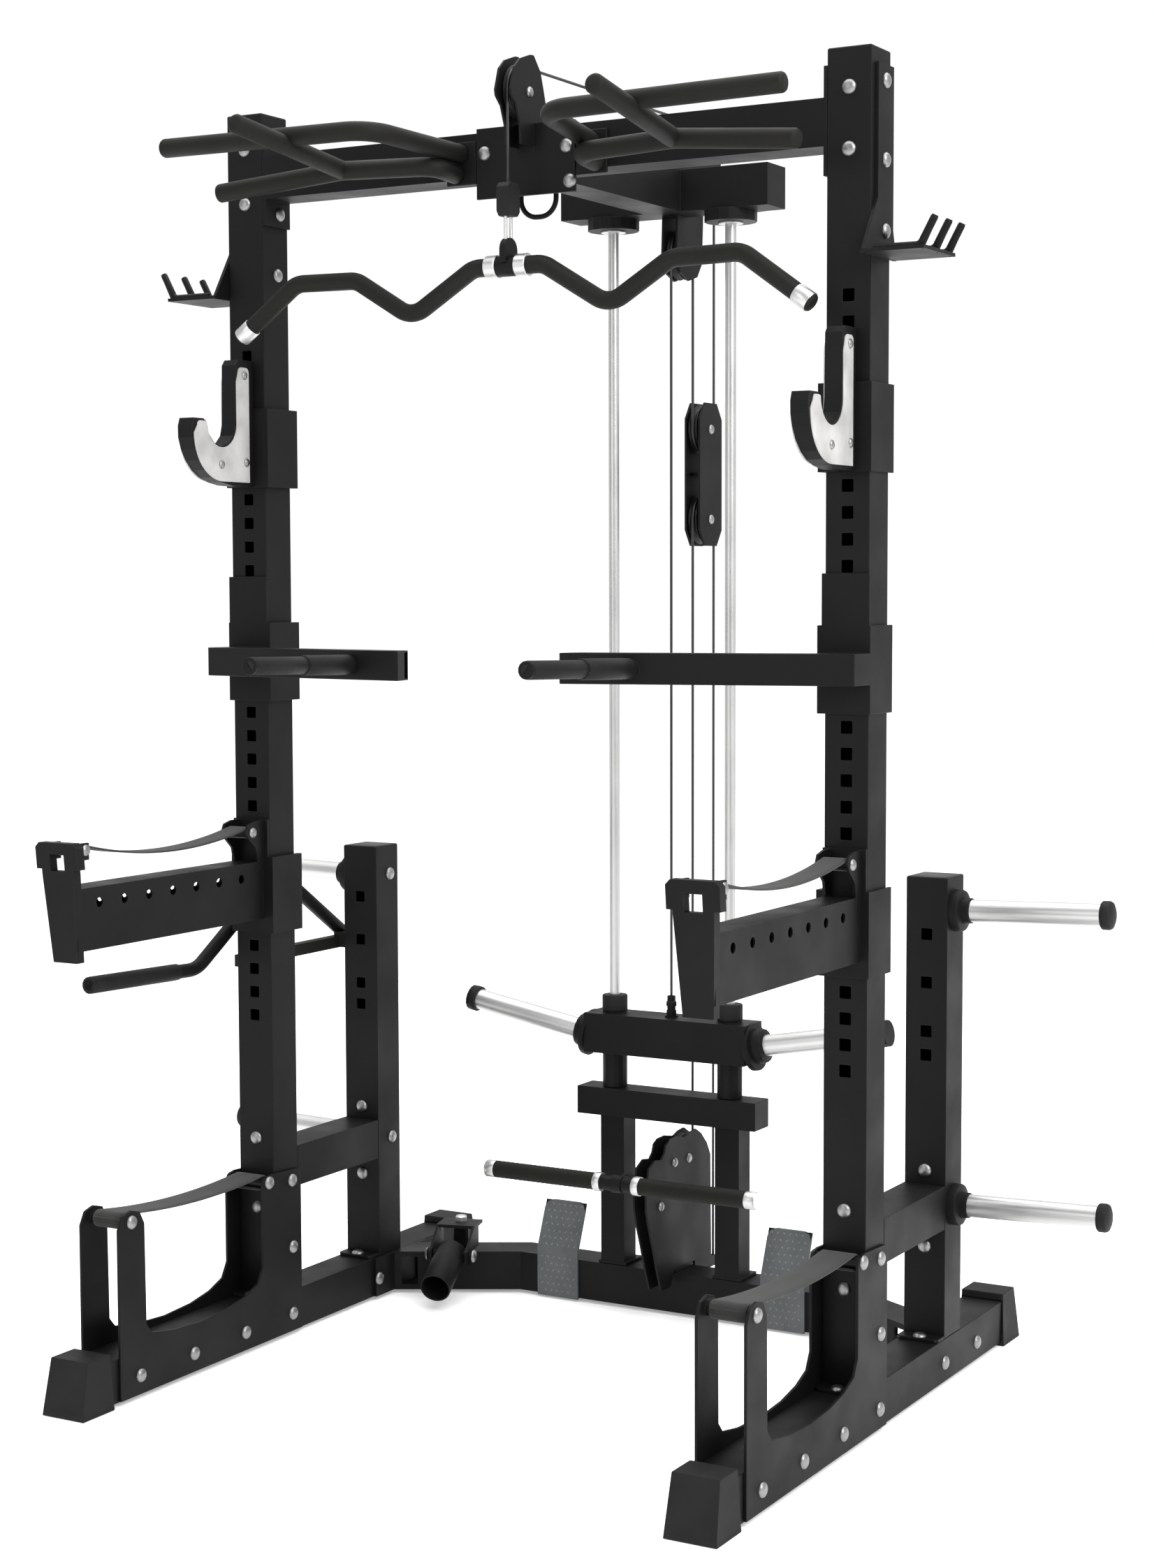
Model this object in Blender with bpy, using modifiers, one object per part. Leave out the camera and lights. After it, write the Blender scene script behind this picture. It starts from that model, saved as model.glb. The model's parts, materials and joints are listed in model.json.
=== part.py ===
"""Half rack with a plate-loaded lat pulldown and low row, in metres, +Z up.

-Y is the open front and +X is the right side as seen from there. Lengths along Y are measured from
the front faces of the two uprights, and DATUM_Y moves the whole machine so that its footprint is
centred on the origin.
"""

import math

import bmesh
import bpy
from mathutils import Matrix, Vector

MACHINE = "cable_crossover_machine"

# Steel stock
TUBE = 0.075
HALF = TUBE / 2
WALL = 0.003
PLATE = 0.005
GAP = 0.0003
SLIDE_GAP = 0.0005
TOP_CAP = 0.004
BOLT_R = 0.006

# Main frame
SIDE_X = 0.583
UPRIGHT_TOP = 2.207
HOLE_TOP_Z = 1.8258
HOLE_PITCH = 0.0423
HOLE_COUNT = 30
HOLE_SIZE = 0.020
POST_Y = 0.340
POST_TOP = 0.877
POST_HOLES_Z = (0.780, 0.697, 0.613, 0.572)
TUBE_LOW = 0.0065
TUBE_HIGH = TUBE_LOW + TUBE
FOOT_FRONT = -0.5405
FOOT_REAR = 0.6945
DATUM_Y = -(FOOT_FRONT + FOOT_REAR) / 2
LINK_LOW = 0.2735
BEAM_LOW = 2.058
BEAM_HIGH = BEAM_LOW + TUBE
REAR_LOW = 2.052
REAR_HIGH = REAR_LOW + TUBE
REAR_FRONT_Y = 0.480
REAR_HALF_X = 0.213
BASE_FRONT_Y = 0.503
BASE_KNEE_X = 0.325
BASE_END_Y = 0.380

# Guide rods, carriage and mast
ROD_X = 0.1215
ROD_Y = 0.5176
ROD_R = 0.010
MAST_TOP = 0.4245
SLEEVE_R = 0.0235
CARRIAGE_LOW = 0.492
CARRIAGE_HIGH = 0.567

# Cables and pulleys: all of them run in the plane x = 0
CABLE_R = 0.0025
PULLEY_R = 0.0435
LAT_Y = -0.0615
FRONT_PULLEY = (LAT_Y + PULLEY_R, 2.188)
LOOP_REAR_Y = 0.6905
LOOP_FRONT_Y = LOOP_REAR_Y - 2 * PULLEY_R
TOP_PULLEY = (LOOP_REAR_Y - PULLEY_R, FRONT_PULLEY[1])
MID_PULLEY = (LOOP_FRONT_Y - PULLEY_R, 1.985)
LIFT_Y = MID_PULLEY[0] - PULLEY_R
BLOCK_Y = LOOP_REAR_Y - PULLEY_R
BLOCK_HIGH_Z = 1.668
BLOCK_LOW_Z = 1.499
ROW_Z = 0.290
LOW_PULLEY = (LOOP_FRONT_Y - PULLEY_R, 0.2915)
ROW_EXIT_Y = 0.352
ROW_BAR_Y = 0.308
STUD_TOP = 0.607

# Bars and pegs
LAT_BAR_R = 0.015
ROW_BAR_R = 0.016
PEG_R = 0.0195
PEG_CAP_R = 0.0243
GRIP_R = 0.016

BLACK = ((0.012, 0.012, 0.013), 0.0, 0.45)
RUBBER = ((0.010, 0.010, 0.011), 0.0, 0.75)
CHROME = ((0.78, 0.78, 0.78), 1.0, 0.18)
STEEL = ((0.55, 0.55, 0.56), 1.0, 0.30)
NYLON = ((0.020, 0.020, 0.021), 0.0, 0.50)
WEBBING = ((0.055, 0.052, 0.046), 0.0, 0.85)
TREAD = ((0.070, 0.075, 0.078), 0.0, 0.60)

for old in list(bpy.data.objects):
    bpy.data.objects.remove(old, do_unlink=True)

parts = bpy.data.collections.new(MACHINE)
cutters = bpy.data.collections.new("cutters")
bpy.context.scene.collection.children.link(parts)
bpy.context.scene.collection.children.link(cutters)
datum = bpy.data.objects.new("machine_datum", None)
datum.location = (0, DATUM_Y, 0)
parts.objects.link(datum)


# ---------------------------------------------------------------- shapes

def helper(data, matrix=None):
    """A construction object, which is not part of the machine."""
    made = bpy.data.objects.new("shape", data)
    cutters.objects.link(made)
    made.hide_render = True
    made.display_type = "WIRE"
    if matrix:
        made.matrix_world = matrix
    return made


def from_bmesh(bm):
    mesh = bpy.data.meshes.new("shape")
    bm.to_mesh(mesh)
    bm.free()
    return helper(mesh)


def boxes(corners):
    """Boxes given by pairs of opposite corners, in any order, as one helper."""
    bm = bmesh.new()
    for first, second in corners:
        first, second = Vector(first), Vector(second)
        size = [abs(b - a) for a, b in zip(first, second)]
        matrix = Matrix.Translation((first + second) / 2) @ Matrix.Diagonal((*size, 1))
        bmesh.ops.create_cube(bm, size=1.0, matrix=matrix)
    return from_bmesh(bm)


def box(first, second):
    return boxes([(first, second)])


def rods(ends, radius, sides=12):
    """Round bars between pairs of points, as one helper."""
    bm = bmesh.new()
    for start, stop in ends:
        start, stop = Vector(start), Vector(stop)
        along = stop - start
        turn = along.to_track_quat("Z", "Y").to_matrix().to_4x4()
        matrix = Matrix.Translation((start + stop) / 2) @ turn
        bmesh.ops.create_cone(bm, cap_ends=True, segments=sides, radius1=radius, radius2=radius,
                              depth=along.length, matrix=matrix)
    return from_bmesh(bm)


def rod(start, stop, radius, sides=12):
    return rods([(start, stop)], radius, sides)


def to_mesh(made):
    """A curve or a modified helper as a plain welded mesh helper."""
    bpy.context.view_layer.update()
    graph = bpy.context.evaluated_depsgraph_get()
    mesh = bpy.data.meshes.new_from_object(made.evaluated_get(graph))
    mesh.transform(made.matrix_world)
    bm = bmesh.new()
    bm.from_mesh(mesh)
    bmesh.ops.remove_doubles(bm, verts=bm.verts, dist=0.00001)
    bmesh.ops.recalc_face_normals(bm, faces=bm.faces)
    bm.to_mesh(mesh)
    bm.free()
    bpy.data.objects.remove(made, do_unlink=True)
    return helper(mesh)


def prism(axis, outline, low, high):
    """A flat outline extruded along X (outline in y, z), Y (outline in x, z) or Z (outline in x, y)."""
    curve = bpy.data.curves.new("outline", "CURVE")
    curve.dimensions = "2D"
    curve.fill_mode = "BOTH"
    curve.extrude = abs(high - low) / 2
    spline = curve.splines.new("POLY")
    spline.points.add(len(outline) - 1)
    for point, (u, v) in zip(spline.points, outline):
        point.co = (u, v, 0, 1)
    spline.use_cyclic_u = True
    middle = (low + high) / 2
    matrix = {
        "X": Matrix(((0, 0, 1, middle), (1, 0, 0, 0), (0, 1, 0, 0), (0, 0, 0, 1))),
        "Y": Matrix(((1, 0, 0, 0), (0, 0, -1, middle), (0, 1, 0, 0), (0, 0, 0, 1))),
        "Z": Matrix.Translation((0, 0, middle)),
    }[axis]
    return to_mesh(helper(curve, matrix))


def rounded(points, radius, steps=3):
    """The path through these points with each corner turned on an arc."""
    points = [Vector(p) for p in points]
    path = [points[0]]
    for before, corner, after in zip(points, points[1:], points[2:]):
        back = (before - corner).normalized()
        on = (after - corner).normalized()
        half = back.angle(on) / 2
        centre = corner + (back + on).normalized() * radius / math.sin(half)
        start = (corner + back * radius / math.tan(half) - centre).normalized()
        stop = (corner + on * radius / math.tan(half) - centre).normalized()
        path += [centre + start.slerp(stop, i / steps) * radius for i in range(steps + 1)]
    return path + [points[-1]]


def tube(path, radius, resolution=2):
    curve = bpy.data.curves.new("path", "CURVE")
    curve.dimensions = "3D"
    curve.bevel_depth = radius
    curve.bevel_resolution = resolution
    curve.use_fill_caps = True
    spline = curve.splines.new("POLY")
    spline.points.add(len(path) - 1)
    for point, place in zip(spline.points, path):
        point.co = (*place, 1)
    return to_mesh(helper(curve))


def arc(centre, radius, first_deg, last_deg, steps=7):
    """Points of an arc about (y, z) in the plane x = 0; 0 degrees is +Y and 90 is +Z."""
    angles = [math.radians(first_deg + (last_deg - first_deg) * i / steps) for i in range(steps + 1)]
    return [(0, centre[0] + radius * math.cos(a), centre[1] + radius * math.sin(a)) for a in angles]


def joined(solids, cuts=()):
    """One helper: the union of the solids with the cuts taken out."""
    base = solids[0]
    others = [(solid, "UNION") for solid in solids[1:]] + [(cut, "DIFFERENCE") for cut in cuts]
    for other, operation in others:
        modifier = base.modifiers.new("join", "BOOLEAN")
        modifier.operation = operation
        modifier.solver = "EXACT"
        modifier.use_self = True
        modifier.object = other
    made = to_mesh(base)
    for other, _ in others:
        bpy.data.objects.remove(other, do_unlink=True)
    return made


def node(name, shape, finish, origin=(0, 0, 0), smooth=False):
    """Makes the helper a part of the machine, with its own material and its origin where stated."""
    made = bpy.data.objects.new(name, shape.data)
    shape.data.name = name
    bpy.data.objects.remove(shape, do_unlink=True)
    made.data.transform(Matrix.Translation(-Vector(origin)))
    made.location = origin
    made.parent = datum
    parts.objects.link(made)
    colour, metallic, roughness = finish
    material = bpy.data.materials.new(name + "_finish")
    material.use_nodes = True
    shader = material.node_tree.nodes["Principled BSDF"]
    shader.inputs["Base Color"].default_value = (*colour, 1)
    shader.inputs["Metallic"].default_value = metallic
    shader.inputs["Roughness"].default_value = roughness
    made.data.materials.clear()
    made.data.materials.append(material)
    if smooth:
        made.data.shade_smooth()
        made.data.set_sharp_from_angle(angle=math.radians(35))
    return made


# ---------------------------------------------------------------- side frames

def foot_tube(name, side):
    x = side * SIDE_X
    outer = box((x - HALF, FOOT_FRONT + 0.028, TUBE_LOW), (x + HALF, FOOT_REAR - 0.028, TUBE_HIGH))
    inner = box((x - HALF + WALL, -1, TUBE_LOW + WALL), (x + HALF - WALL, 1, TUBE_HIGH - WALL))
    node(name, joined([outer], [inner]), BLACK)


def rubber_foot(name, side, y_end, inward):
    """A tapered rubber boot over the end of a foot tube; inward is +1 at the front, -1 at the rear."""
    x = side * SIDE_X
    bm = bmesh.new()

    def ring(half, first, second, z):
        ends = (y_end + inward * first, y_end + inward * second)
        low_x, high_x = x - half, x + half
        return [(low_x, ends[0], z), (high_x, ends[0], z), (high_x, ends[1], z), (low_x, ends[1], z)]

    foot = ring(0.0443, 0, 0.081, 0)
    low = ring(0.0431, 0, 0.081, 0.008)
    high = ring(0.0395, 0.0185, 0.077, 0.095)
    rings = [[bm.verts.new(p) for p in ring] for ring in (foot, low, high)]
    bm.faces.new(rings[0])
    bm.faces.new(rings[2])
    for lower, upper in zip(rings, rings[1:]):
        for i in range(4):
            bm.faces.new((lower[i], lower[(i + 1) % 4], upper[(i + 1) % 4], upper[i]))
    bmesh.ops.recalc_face_normals(bm, faces=bm.faces)
    reach = HALF + GAP
    pocket = box((x - reach, y_end + inward * (0.028 - GAP), TUBE_LOW - GAP),
                 (x + reach, y_end + inward * 0.2, TUBE_HIGH + GAP))
    node(name, joined([from_bmesh(bm)], [pocket]), RUBBER)


def upright(name, side):
    x = side * SIDE_X
    outer = box((x - HALF, 0, TUBE_HIGH + GAP), (x + HALF, TUBE, UPRIGHT_TOP))
    inner = box((x - HALF + WALL, WALL, 0), (x + HALF - WALL, TUBE - WALL, UPRIGHT_TOP - TOP_CAP))
    half = HOLE_SIZE / 2
    heights = [HOLE_TOP_Z - i * HOLE_PITCH for i in range(HOLE_COUNT)]
    holes = boxes([((x - half, -0.01, z - half), (x + half, HALF, z + half)) for z in heights])
    node(name, joined([outer], [inner, holes]), BLACK)


def rear_post(name, side):
    x = side * SIDE_X
    rear = POST_Y + TUBE
    outer = box((x - HALF, POST_Y, TUBE_HIGH + GAP), (x + HALF, rear, POST_TOP))
    inner = box((x - HALF + WALL, POST_Y + WALL, 0), (x + HALF - WALL, rear - WALL, POST_TOP - TOP_CAP))
    half = HOLE_SIZE / 2
    holes = boxes([((x - half, POST_Y - 0.01, z - half), (x + half, POST_Y + 0.02, z + half))
                   for z in POST_HOLES_Z])
    node(name, joined([outer], [inner, holes]), BLACK)


def side_link(name, side):
    x = side * SIDE_X
    outer = box((x - HALF, TUBE + GAP, LINK_LOW), (x + HALF, POST_Y - GAP, LINK_LOW + TUBE))
    inner = box((x - HALF + WALL, 0, LINK_LOW + WALL), (x + HALF - WALL, 0.5, LINK_LOW + TUBE - WALL))
    node(name, joined([outer], [inner]), BLACK)


BRACKET_OUTLINE = (
    (-0.442, 0.008), (0.078, 0.008), (0.078, 0.300), (0.070, 0.308), (-0.014, 0.312), (-0.032, 0.308),
    (-0.040, 0.296), (-0.040, 0.148), (-0.055, 0.121), (-0.093, 0.106), (-0.148, 0.096), (-0.220, 0.092),
    (-0.300, 0.097), (-0.357, 0.107), (-0.372, 0.124), (-0.374, 0.300), (-0.386, 0.322), (-0.408, 0.328),
    (-0.430, 0.322), (-0.442, 0.300),
)
FRONT_ANCHOR = (-0.408, 0.308)
REAR_ANCHOR = (-0.0205, 0.298)


def base_bracket(name, side):
    """Two side plates that clamp the foot tube and the upright, with the strap's two anchor bars."""
    x = side * SIDE_X
    near, far = HALF + GAP, HALF + GAP + PLATE
    plates = [prism("X", BRACKET_OUTLINE, x + s * near, x + s * far) for s in (-1, 1)]
    bars = [rod((x - far + 0.001, y, z), (x + far - 0.001, y, z), radius)
            for (y, z), radius in ((FRONT_ANCHOR, 0.011), (REAR_ANCHOR, 0.009))]
    node(name, joined(plates[:1] + bars + plates[1:]), BLACK)


def sagging_strap(name, side, start, stop, sag, half_width, thickness, steps=8):
    """A webbing band between two (y, z) points that hangs in a shallow curve."""
    top, bottom = [], []
    for i in range(steps + 1):
        t = i / steps
        y = start[0] + (stop[0] - start[0]) * t
        z = start[1] + (stop[1] - start[1]) * t - 4 * sag * t * (1 - t)
        top.append((y, z + thickness / 2))
        bottom.append((y, z - thickness / 2))
    x = side * SIDE_X
    node(name, prism("X", top + bottom[::-1], x - half_width, x + half_width), WEBBING)


# ---------------------------------------------------------------- top of the rack

def crossbeam():
    reach = SIDE_X - HALF - GAP
    beam = box((-reach, 0, BEAM_LOW), (reach, TUBE, BEAM_HIGH))
    flanges = boxes([((s * reach, 0.0005, 2.012), (s * (reach - 0.006), TUBE - 0.0005, 2.182))
                     for s in (-1, 1)])
    hollow = box((-1, WALL, BEAM_LOW + WALL), (1, TUBE - WALL, BEAM_HIGH - WALL))
    node("crossbeam", joined([beam, flanges], [hollow]), BLACK)


def pullup_grips(name, side):
    """Wide grip, front grip and forward grip on one mounting plate."""
    def at(x, y, z):
        return (side * x, y, z)

    plate = box(at(0.0965, -0.0063, 2.048), at(0.155, -GAP, 2.120))
    wide = rounded([at(0.125, -0.003, 2.100), at(0.163, -0.228, 2.112), at(0.582, -0.230, 2.116)], 0.055, 4)
    front = rounded([at(0.135, -0.003, 2.066), at(0.138, -0.072, 2.072), at(0.318, -0.080, 2.078),
                     at(0.552, -0.119, 2.052)], 0.030, 2)
    forward = [at(0.316, -0.070, 2.077), at(0.331, -0.365, 2.117)]
    shapes = [plate] + [tube(path, GRIP_R) for path in (wide, front, forward)]
    node(name, joined(shapes), BLACK, smooth=True)


def storage_hook(name, side):
    """A plate on the outer face of the upright with a shelf and three raised prongs."""
    face = SIDE_X + HALF + GAP
    inner, outer = side * face, side * (face + 0.006)
    outline = [(0.014, 2.183), (0.014, 1.975), (-0.042, 1.884), (0.088, 1.884), (0.074, 1.930),
               (0.074, 2.183)]
    plate = prism("X", outline, inner, outer)
    shelf = box((side * (face + 0.001), -0.0415, 1.8845), (side * 0.726, 0.0875, 1.890))
    prong_ends = [((side * 0.717, y, 1.886), (side * 0.741, y, 1.934)) for y in (-0.033, 0.025, 0.078)]
    prongs = rods(prong_ends, 0.0055, 8)
    node(name, joined([plate, shelf, prongs]), BLACK)


NARROW = 0.0125


def bracket_plates(outline, gap_half, thickness=0.004):
    return [prism("X", outline, s * gap_half, s * (gap_half + thickness)) for s in (-1, 1)]


def pulley_pin(centre, gap_half, thickness=0.004):
    """The pin through two plates, with a spacer each side of the pulley."""
    reach = gap_half + thickness
    pin = rod((-reach + 0.0005, *centre), (reach - 0.0005, *centre), BOLT_R, 10)
    spacers = rods([((s * 0.0085, *centre), (s * (gap_half + 0.001), *centre)) for s in (-1, 1)], 0.0098, 8)
    return [pin, spacers]


def pulley(name, centre):
    """A grooved pulley that turns about X, as a closed profile turned about its pin."""
    rim, groove, bore = PULLEY_R + 0.003, PULLEY_R - 0.0037, BOLT_R + GAP
    profile = [(bore, 0.008), (rim, 0.008), (groove, 0), (rim, -0.008), (bore, -0.008)]
    bm = bmesh.new()
    points = [bm.verts.new((r, 0, h)) for r, h in profile]
    for i, point in enumerate(points):
        bm.edges.new((point, points[(i + 1) % len(points)]))
    shape = from_bmesh(bm)
    screw = shape.modifiers.new("turn", "SCREW")
    screw.steps = 18
    screw.render_steps = 18
    screw.use_merge_vertices = True
    screw.merge_threshold = 0.00001
    shape.matrix_world = Matrix.Translation((0, *centre)) @ Matrix.Rotation(math.pi / 2, 4, "Y")
    bpy.context.view_layer.update()
    node(name, to_mesh(shape), NYLON, origin=(0, *centre), smooth=True)


def front_pulley_bracket():
    """Mounting plate on the crossbeam, two cheeks for the lat pulley, and the hanging ring below."""
    plate = box((-0.095, -0.0063, 2.022), (0.095, -0.0006, 2.139))
    low, high = BEAM_LOW - GAP, BEAM_HIGH + GAP
    clamp = prism("X", [(0.060, low), (0.060, low - 0.005), (-0.0058, low - 0.005), (-0.0058, high + 0.005),
                        (0.070, high + 0.005), (0.070, high), (-GAP, high), (-GAP, low)], -0.050, 0.050)
    y, z = FRONT_PULLEY
    cheek = [(-0.003, 2.100), (-0.003, 2.1365), (0.064, 2.1365), (0.052, 2.150), (0.036, 2.172),
             (0.026, 2.203), (0.018, 2.226), (-0.004, 2.250), (-0.014, 2.2495), (-0.048, 2.238),
             (-0.066, 2.222), (-0.078, 2.186), (-0.076, 2.176), (-0.060, 2.162), (-0.048, 2.133),
             (-0.046, 2.100)]
    ring = rounded([(-0.034, 0.0375, 2.055), (-0.034, 0.0375, 1.992), (0.034, 0.0375, 1.992),
                    (0.034, 0.0375, 2.055)], 0.030, 4)
    shapes = [plate, clamp] + bracket_plates(cheek, NARROW) + pulley_pin((y, z), NARROW)
    shapes += [tube(ring, 0.004, 1)]
    node("front_pulley_bracket", joined(shapes), BLACK)


def rear_top_frame():
    """The arm back from the crossbeam, the rear beam and the two collars that hold the guide rods."""
    arm = box((-HALF, TUBE + GAP, REAR_LOW), (HALF, REAR_FRONT_Y + 0.001, REAR_HIGH))
    beam = box((-REAR_HALF_X, REAR_FRONT_Y, REAR_LOW), (REAR_HALF_X, REAR_FRONT_Y + TUBE, REAR_HIGH))
    ends = [((s * ROD_X, ROD_Y, 2.031), (s * ROD_X, ROD_Y, REAR_LOW + 0.001)) for s in (-1, 1)]
    collars = rods(ends, 0.048, 16)
    arm_hollow = box((-HALF + WALL, 0, REAR_LOW + WALL),
                     (HALF - WALL, REAR_FRONT_Y + WALL + 0.01, REAR_HIGH - WALL))
    hollow = box((-REAR_HALF_X + WALL, REAR_FRONT_Y + WALL, REAR_LOW + WALL),
                 (REAR_HALF_X - WALL, REAR_FRONT_Y + TUBE - WALL, REAR_HIGH - WALL))
    bore_ends = [((s * ROD_X, ROD_Y, 2.0), (s * ROD_X, ROD_Y, REAR_HIGH - 0.03)) for s in (-1, 1)]
    bores = rods(bore_ends, ROD_R + GAP, 16)
    node("rear_top_frame", joined([beam, arm, collars], [hollow, arm_hollow, bores]), BLACK)


def rear_pulley_bracket():
    """Cheeks that hold the top pulley behind the rear beam and the middle pulley below it."""
    y = REAR_FRONT_Y + TUBE + GAP
    cheek = [(y, 2.1276), (y - 0.060, 2.1276), (y - 0.060, 2.150), (0.600, 2.222), (0.640, 2.236),
             (0.672, 2.228), (0.690, 2.205), (0.692, 2.175), (0.680, 2.152), (0.640, 2.120), (0.614, 2.060),
             (0.609, 1.972), (0.590, 1.946), (0.556, 1.936), (0.524, 1.948), (0.508, 1.975), (0.512, 2.0515),
             (y, 2.0515)]
    plates = bracket_plates(cheek, NARROW)
    ties = [box((-0.0163, y + 0.001, 2.100), (0.0163, y + 0.006, 2.124)),
            box((-0.0163, y - 0.055, 2.1277), (0.0163, y - 0.004, 2.1330))]
    shapes = plates[:1] + ties + plates[1:] + pulley_pin(TOP_PULLEY, NARROW) + pulley_pin(MID_PULLEY, NARROW)
    node("rear_pulley_bracket", joined(shapes), BLACK)


# ---------------------------------------------------------------- base and guide

def offset_front(distance):
    """The front line of the base beam moved back by a distance, from the left end to the right."""
    slope = math.atan2(BASE_FRONT_Y - BASE_END_Y, SIDE_X - HALF - GAP - BASE_KNEE_X)
    end_x = SIDE_X - HALF - GAP
    knee_x = BASE_KNEE_X + distance * math.tan(slope / 2)
    knee_y = BASE_FRONT_Y + distance
    end_y = knee_y - (end_x - knee_x) * math.tan(slope)
    return [(-end_x, end_y), (-knee_x, knee_y), (knee_x, knee_y), (end_x, end_y)]


LANDMINE = (-0.4454, 0.4787)
YOKE_TURN = math.radians(16)
YOKE_Z = 0.128
YOKE_PIVOT = (0, -0.075, 0.084)
SLEEVE_DROP = math.radians(-20)
FOOTPLATE_X = (0.195, 0.283)


def base_beam():
    """The bent base beam with its end plates, two footplates and the pivot lug of the bar sleeve."""
    body = prism("Z", offset_front(0) + offset_front(TUBE)[::-1], TUBE_LOW, TUBE_HIGH)
    hollow_line = offset_front(WALL) + offset_front(TUBE - WALL)[::-1]
    hollow = prism("Z", [(x * 1.02 if abs(x) > 0.5 else x, y) for x, y in hollow_line],
                   TUBE_LOW + WALL, TUBE_HIGH - WALL)
    end = SIDE_X - HALF - GAP
    low, high = TUBE_LOW + 0.0005, TUBE_HIGH - 0.0005
    ends = boxes([((s * end, 0.320, low), (s * (end - 0.006), 0.500, high)) for s in (-1, 1)])
    low, high = TUBE_LOW + 0.010, TUBE_HIGH - 0.010
    through = boxes([((s * 0.5, BASE_END_Y + 0.010, low), (s * 0.6, BASE_END_Y + 0.070, high))
                     for s in (-1, 1)])
    tread = [(0.5035, 0.004), (0.4985, 0.004), (0.4985, 0.098), (0.534, 0.185), (0.539, 0.183),
             (0.5035, 0.096)]
    treads = [prism("X", tread, s * FOOTPLATE_X[0], s * FOOTPLATE_X[1]) for s in (-1, 1)]
    boss = rod((*LANDMINE, TUBE_HIGH - 0.001), (*LANDMINE, YOKE_Z - GAP), 0.016)
    pin = rod((*LANDMINE, TUBE_HIGH), (*LANDMINE, YOKE_Z + 0.012), 0.008)
    node("base_beam", joined([body, ends] + treads + [boss, pin], [hollow, through]), BLACK)


def mast():
    """Two short posts on the base beam with the crossbar that carries the guide rods."""
    centres = (-ROD_X, ROD_X)
    low = TUBE_HIGH + GAP
    posts = boxes([((x - 0.025, 0.5055, low), (x + 0.025, 0.553, MAST_TOP - 0.050)) for x in centres])
    pads = boxes([((x - 0.030, 0.5045, low), (x + 0.030, 0.572, low + 0.006)) for x in centres])
    bar = box((-0.188, 0.488, MAST_TOP - 0.053), (0.188, 0.546, MAST_TOP))
    hollows = boxes([((x - 0.022, 0.5085, 0), (x + 0.022, 0.540, MAST_TOP - 0.045)) for x in centres])
    bar_hollow = box((-0.185, 0.491, MAST_TOP - 0.050), (0.185, 0.543, MAST_TOP - 0.003))
    node("mast", joined([bar, posts, pads], [bar_hollow, hollows]), BLACK)


def guide_rod(name, side):
    x = side * ROD_X
    shape = rod((x, ROD_Y, MAST_TOP + GAP), (x, ROD_Y, REAR_HIGH - 0.035), ROD_R, 16)
    node(name, shape, CHROME, smooth=True)


def low_pulley_bracket():
    """Two cheeks over the base beam that hold the row pulley, its guard bolts and the cable's anchor."""
    cheek = [(0.449, 0.060), (0.431, 0.105), (0.415, 0.152), (0.400, 0.191), (0.390, 0.225), (0.389, 0.255),
             (0.400, 0.300), (0.425, 0.312), (0.450, 0.308), (0.462, 0.318), (0.468, 0.333), (0.483, 0.340),
             (0.512, 0.341), (0.546, 0.334), (0.566, 0.340), (0.590, 0.342), (0.612, 0.330), (0.636, 0.307),
             (0.651, 0.282), (0.655, 0.0795), (0.6945, 0.0795), (0.6945, 0.060), (0.585, 0.060),
             (0.585, 0.0885), (0.500, 0.0885), (0.485, 0.060)]
    gap_half, thickness = 0.0105, 0.004
    reach = gap_half + thickness - 0.0005
    plates = bracket_plates(cheek, gap_half, thickness)
    low = TUBE_HIGH + GAP
    foot = box((-reach, 0.508, low), (reach, 0.576, low + 0.0075))
    bolt_places = ((0.502, 0.294), (0.447, 0.221), (0.6875, 0.070))
    bolts = rods([((-reach, y, z), (reach, y, z)) for y, z in bolt_places], BOLT_R, 10)
    shapes = plates[:1] + [foot, bolts] + plates[1:] + pulley_pin(LOW_PULLEY, gap_half, thickness)
    node("low_pulley_bracket", joined(shapes), BLACK)


def storage_peg(name, side, z):
    """A plate peg on the outer face of a rear post, tilted up a little towards its tip."""
    y = POST_Y + HALF
    face = SIDE_X + HALF + GAP
    tip = 0.889
    rise = (tip - face) * math.tan(math.radians(1.5))
    flange = rod((side * face, y, z), (side * (face + 0.016), y, z), 0.036, 18)
    peg = rod((side * (face + 0.002), y, z), (side * (tip + 0.001), y, z + rise), PEG_R, 16)
    cap = rod((side * tip, y, z + rise), (side * (tip + 0.012), y, z + rise), PEG_CAP_R, 16)
    node(name, joined([flange, peg, cap]), CHROME, smooth=True)


def side_handle():
    """The bent handle on the left: a brace between upright and rear post with a forward grip."""
    x = -0.652
    path = rounded([(x, -0.360, 0.697), (x, -0.080, 0.688), (x, 0.165, 0.842), (x, 0.372, 0.708)], 0.070, 3)
    brace = box((x - 0.010, 0.046, 0.676), (x + 0.010, 0.375, 0.698))
    lugs = boxes([((x, 0.047, 0.677), (-SIDE_X - HALF - GAP, 0.070, 0.697)),
                  ((x, 0.350, 0.677), (-SIDE_X - HALF - GAP, 0.374, 0.707))])
    grip = rod((x, -0.375, 0.6975), (x, -0.138, 0.6900), 0.0148, 14)
    node("side_handle", joined([tube(path, 0.0125, 3), brace, lugs, grip]), BLACK, smooth=True)


# ---------------------------------------------------------------- landmine

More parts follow.
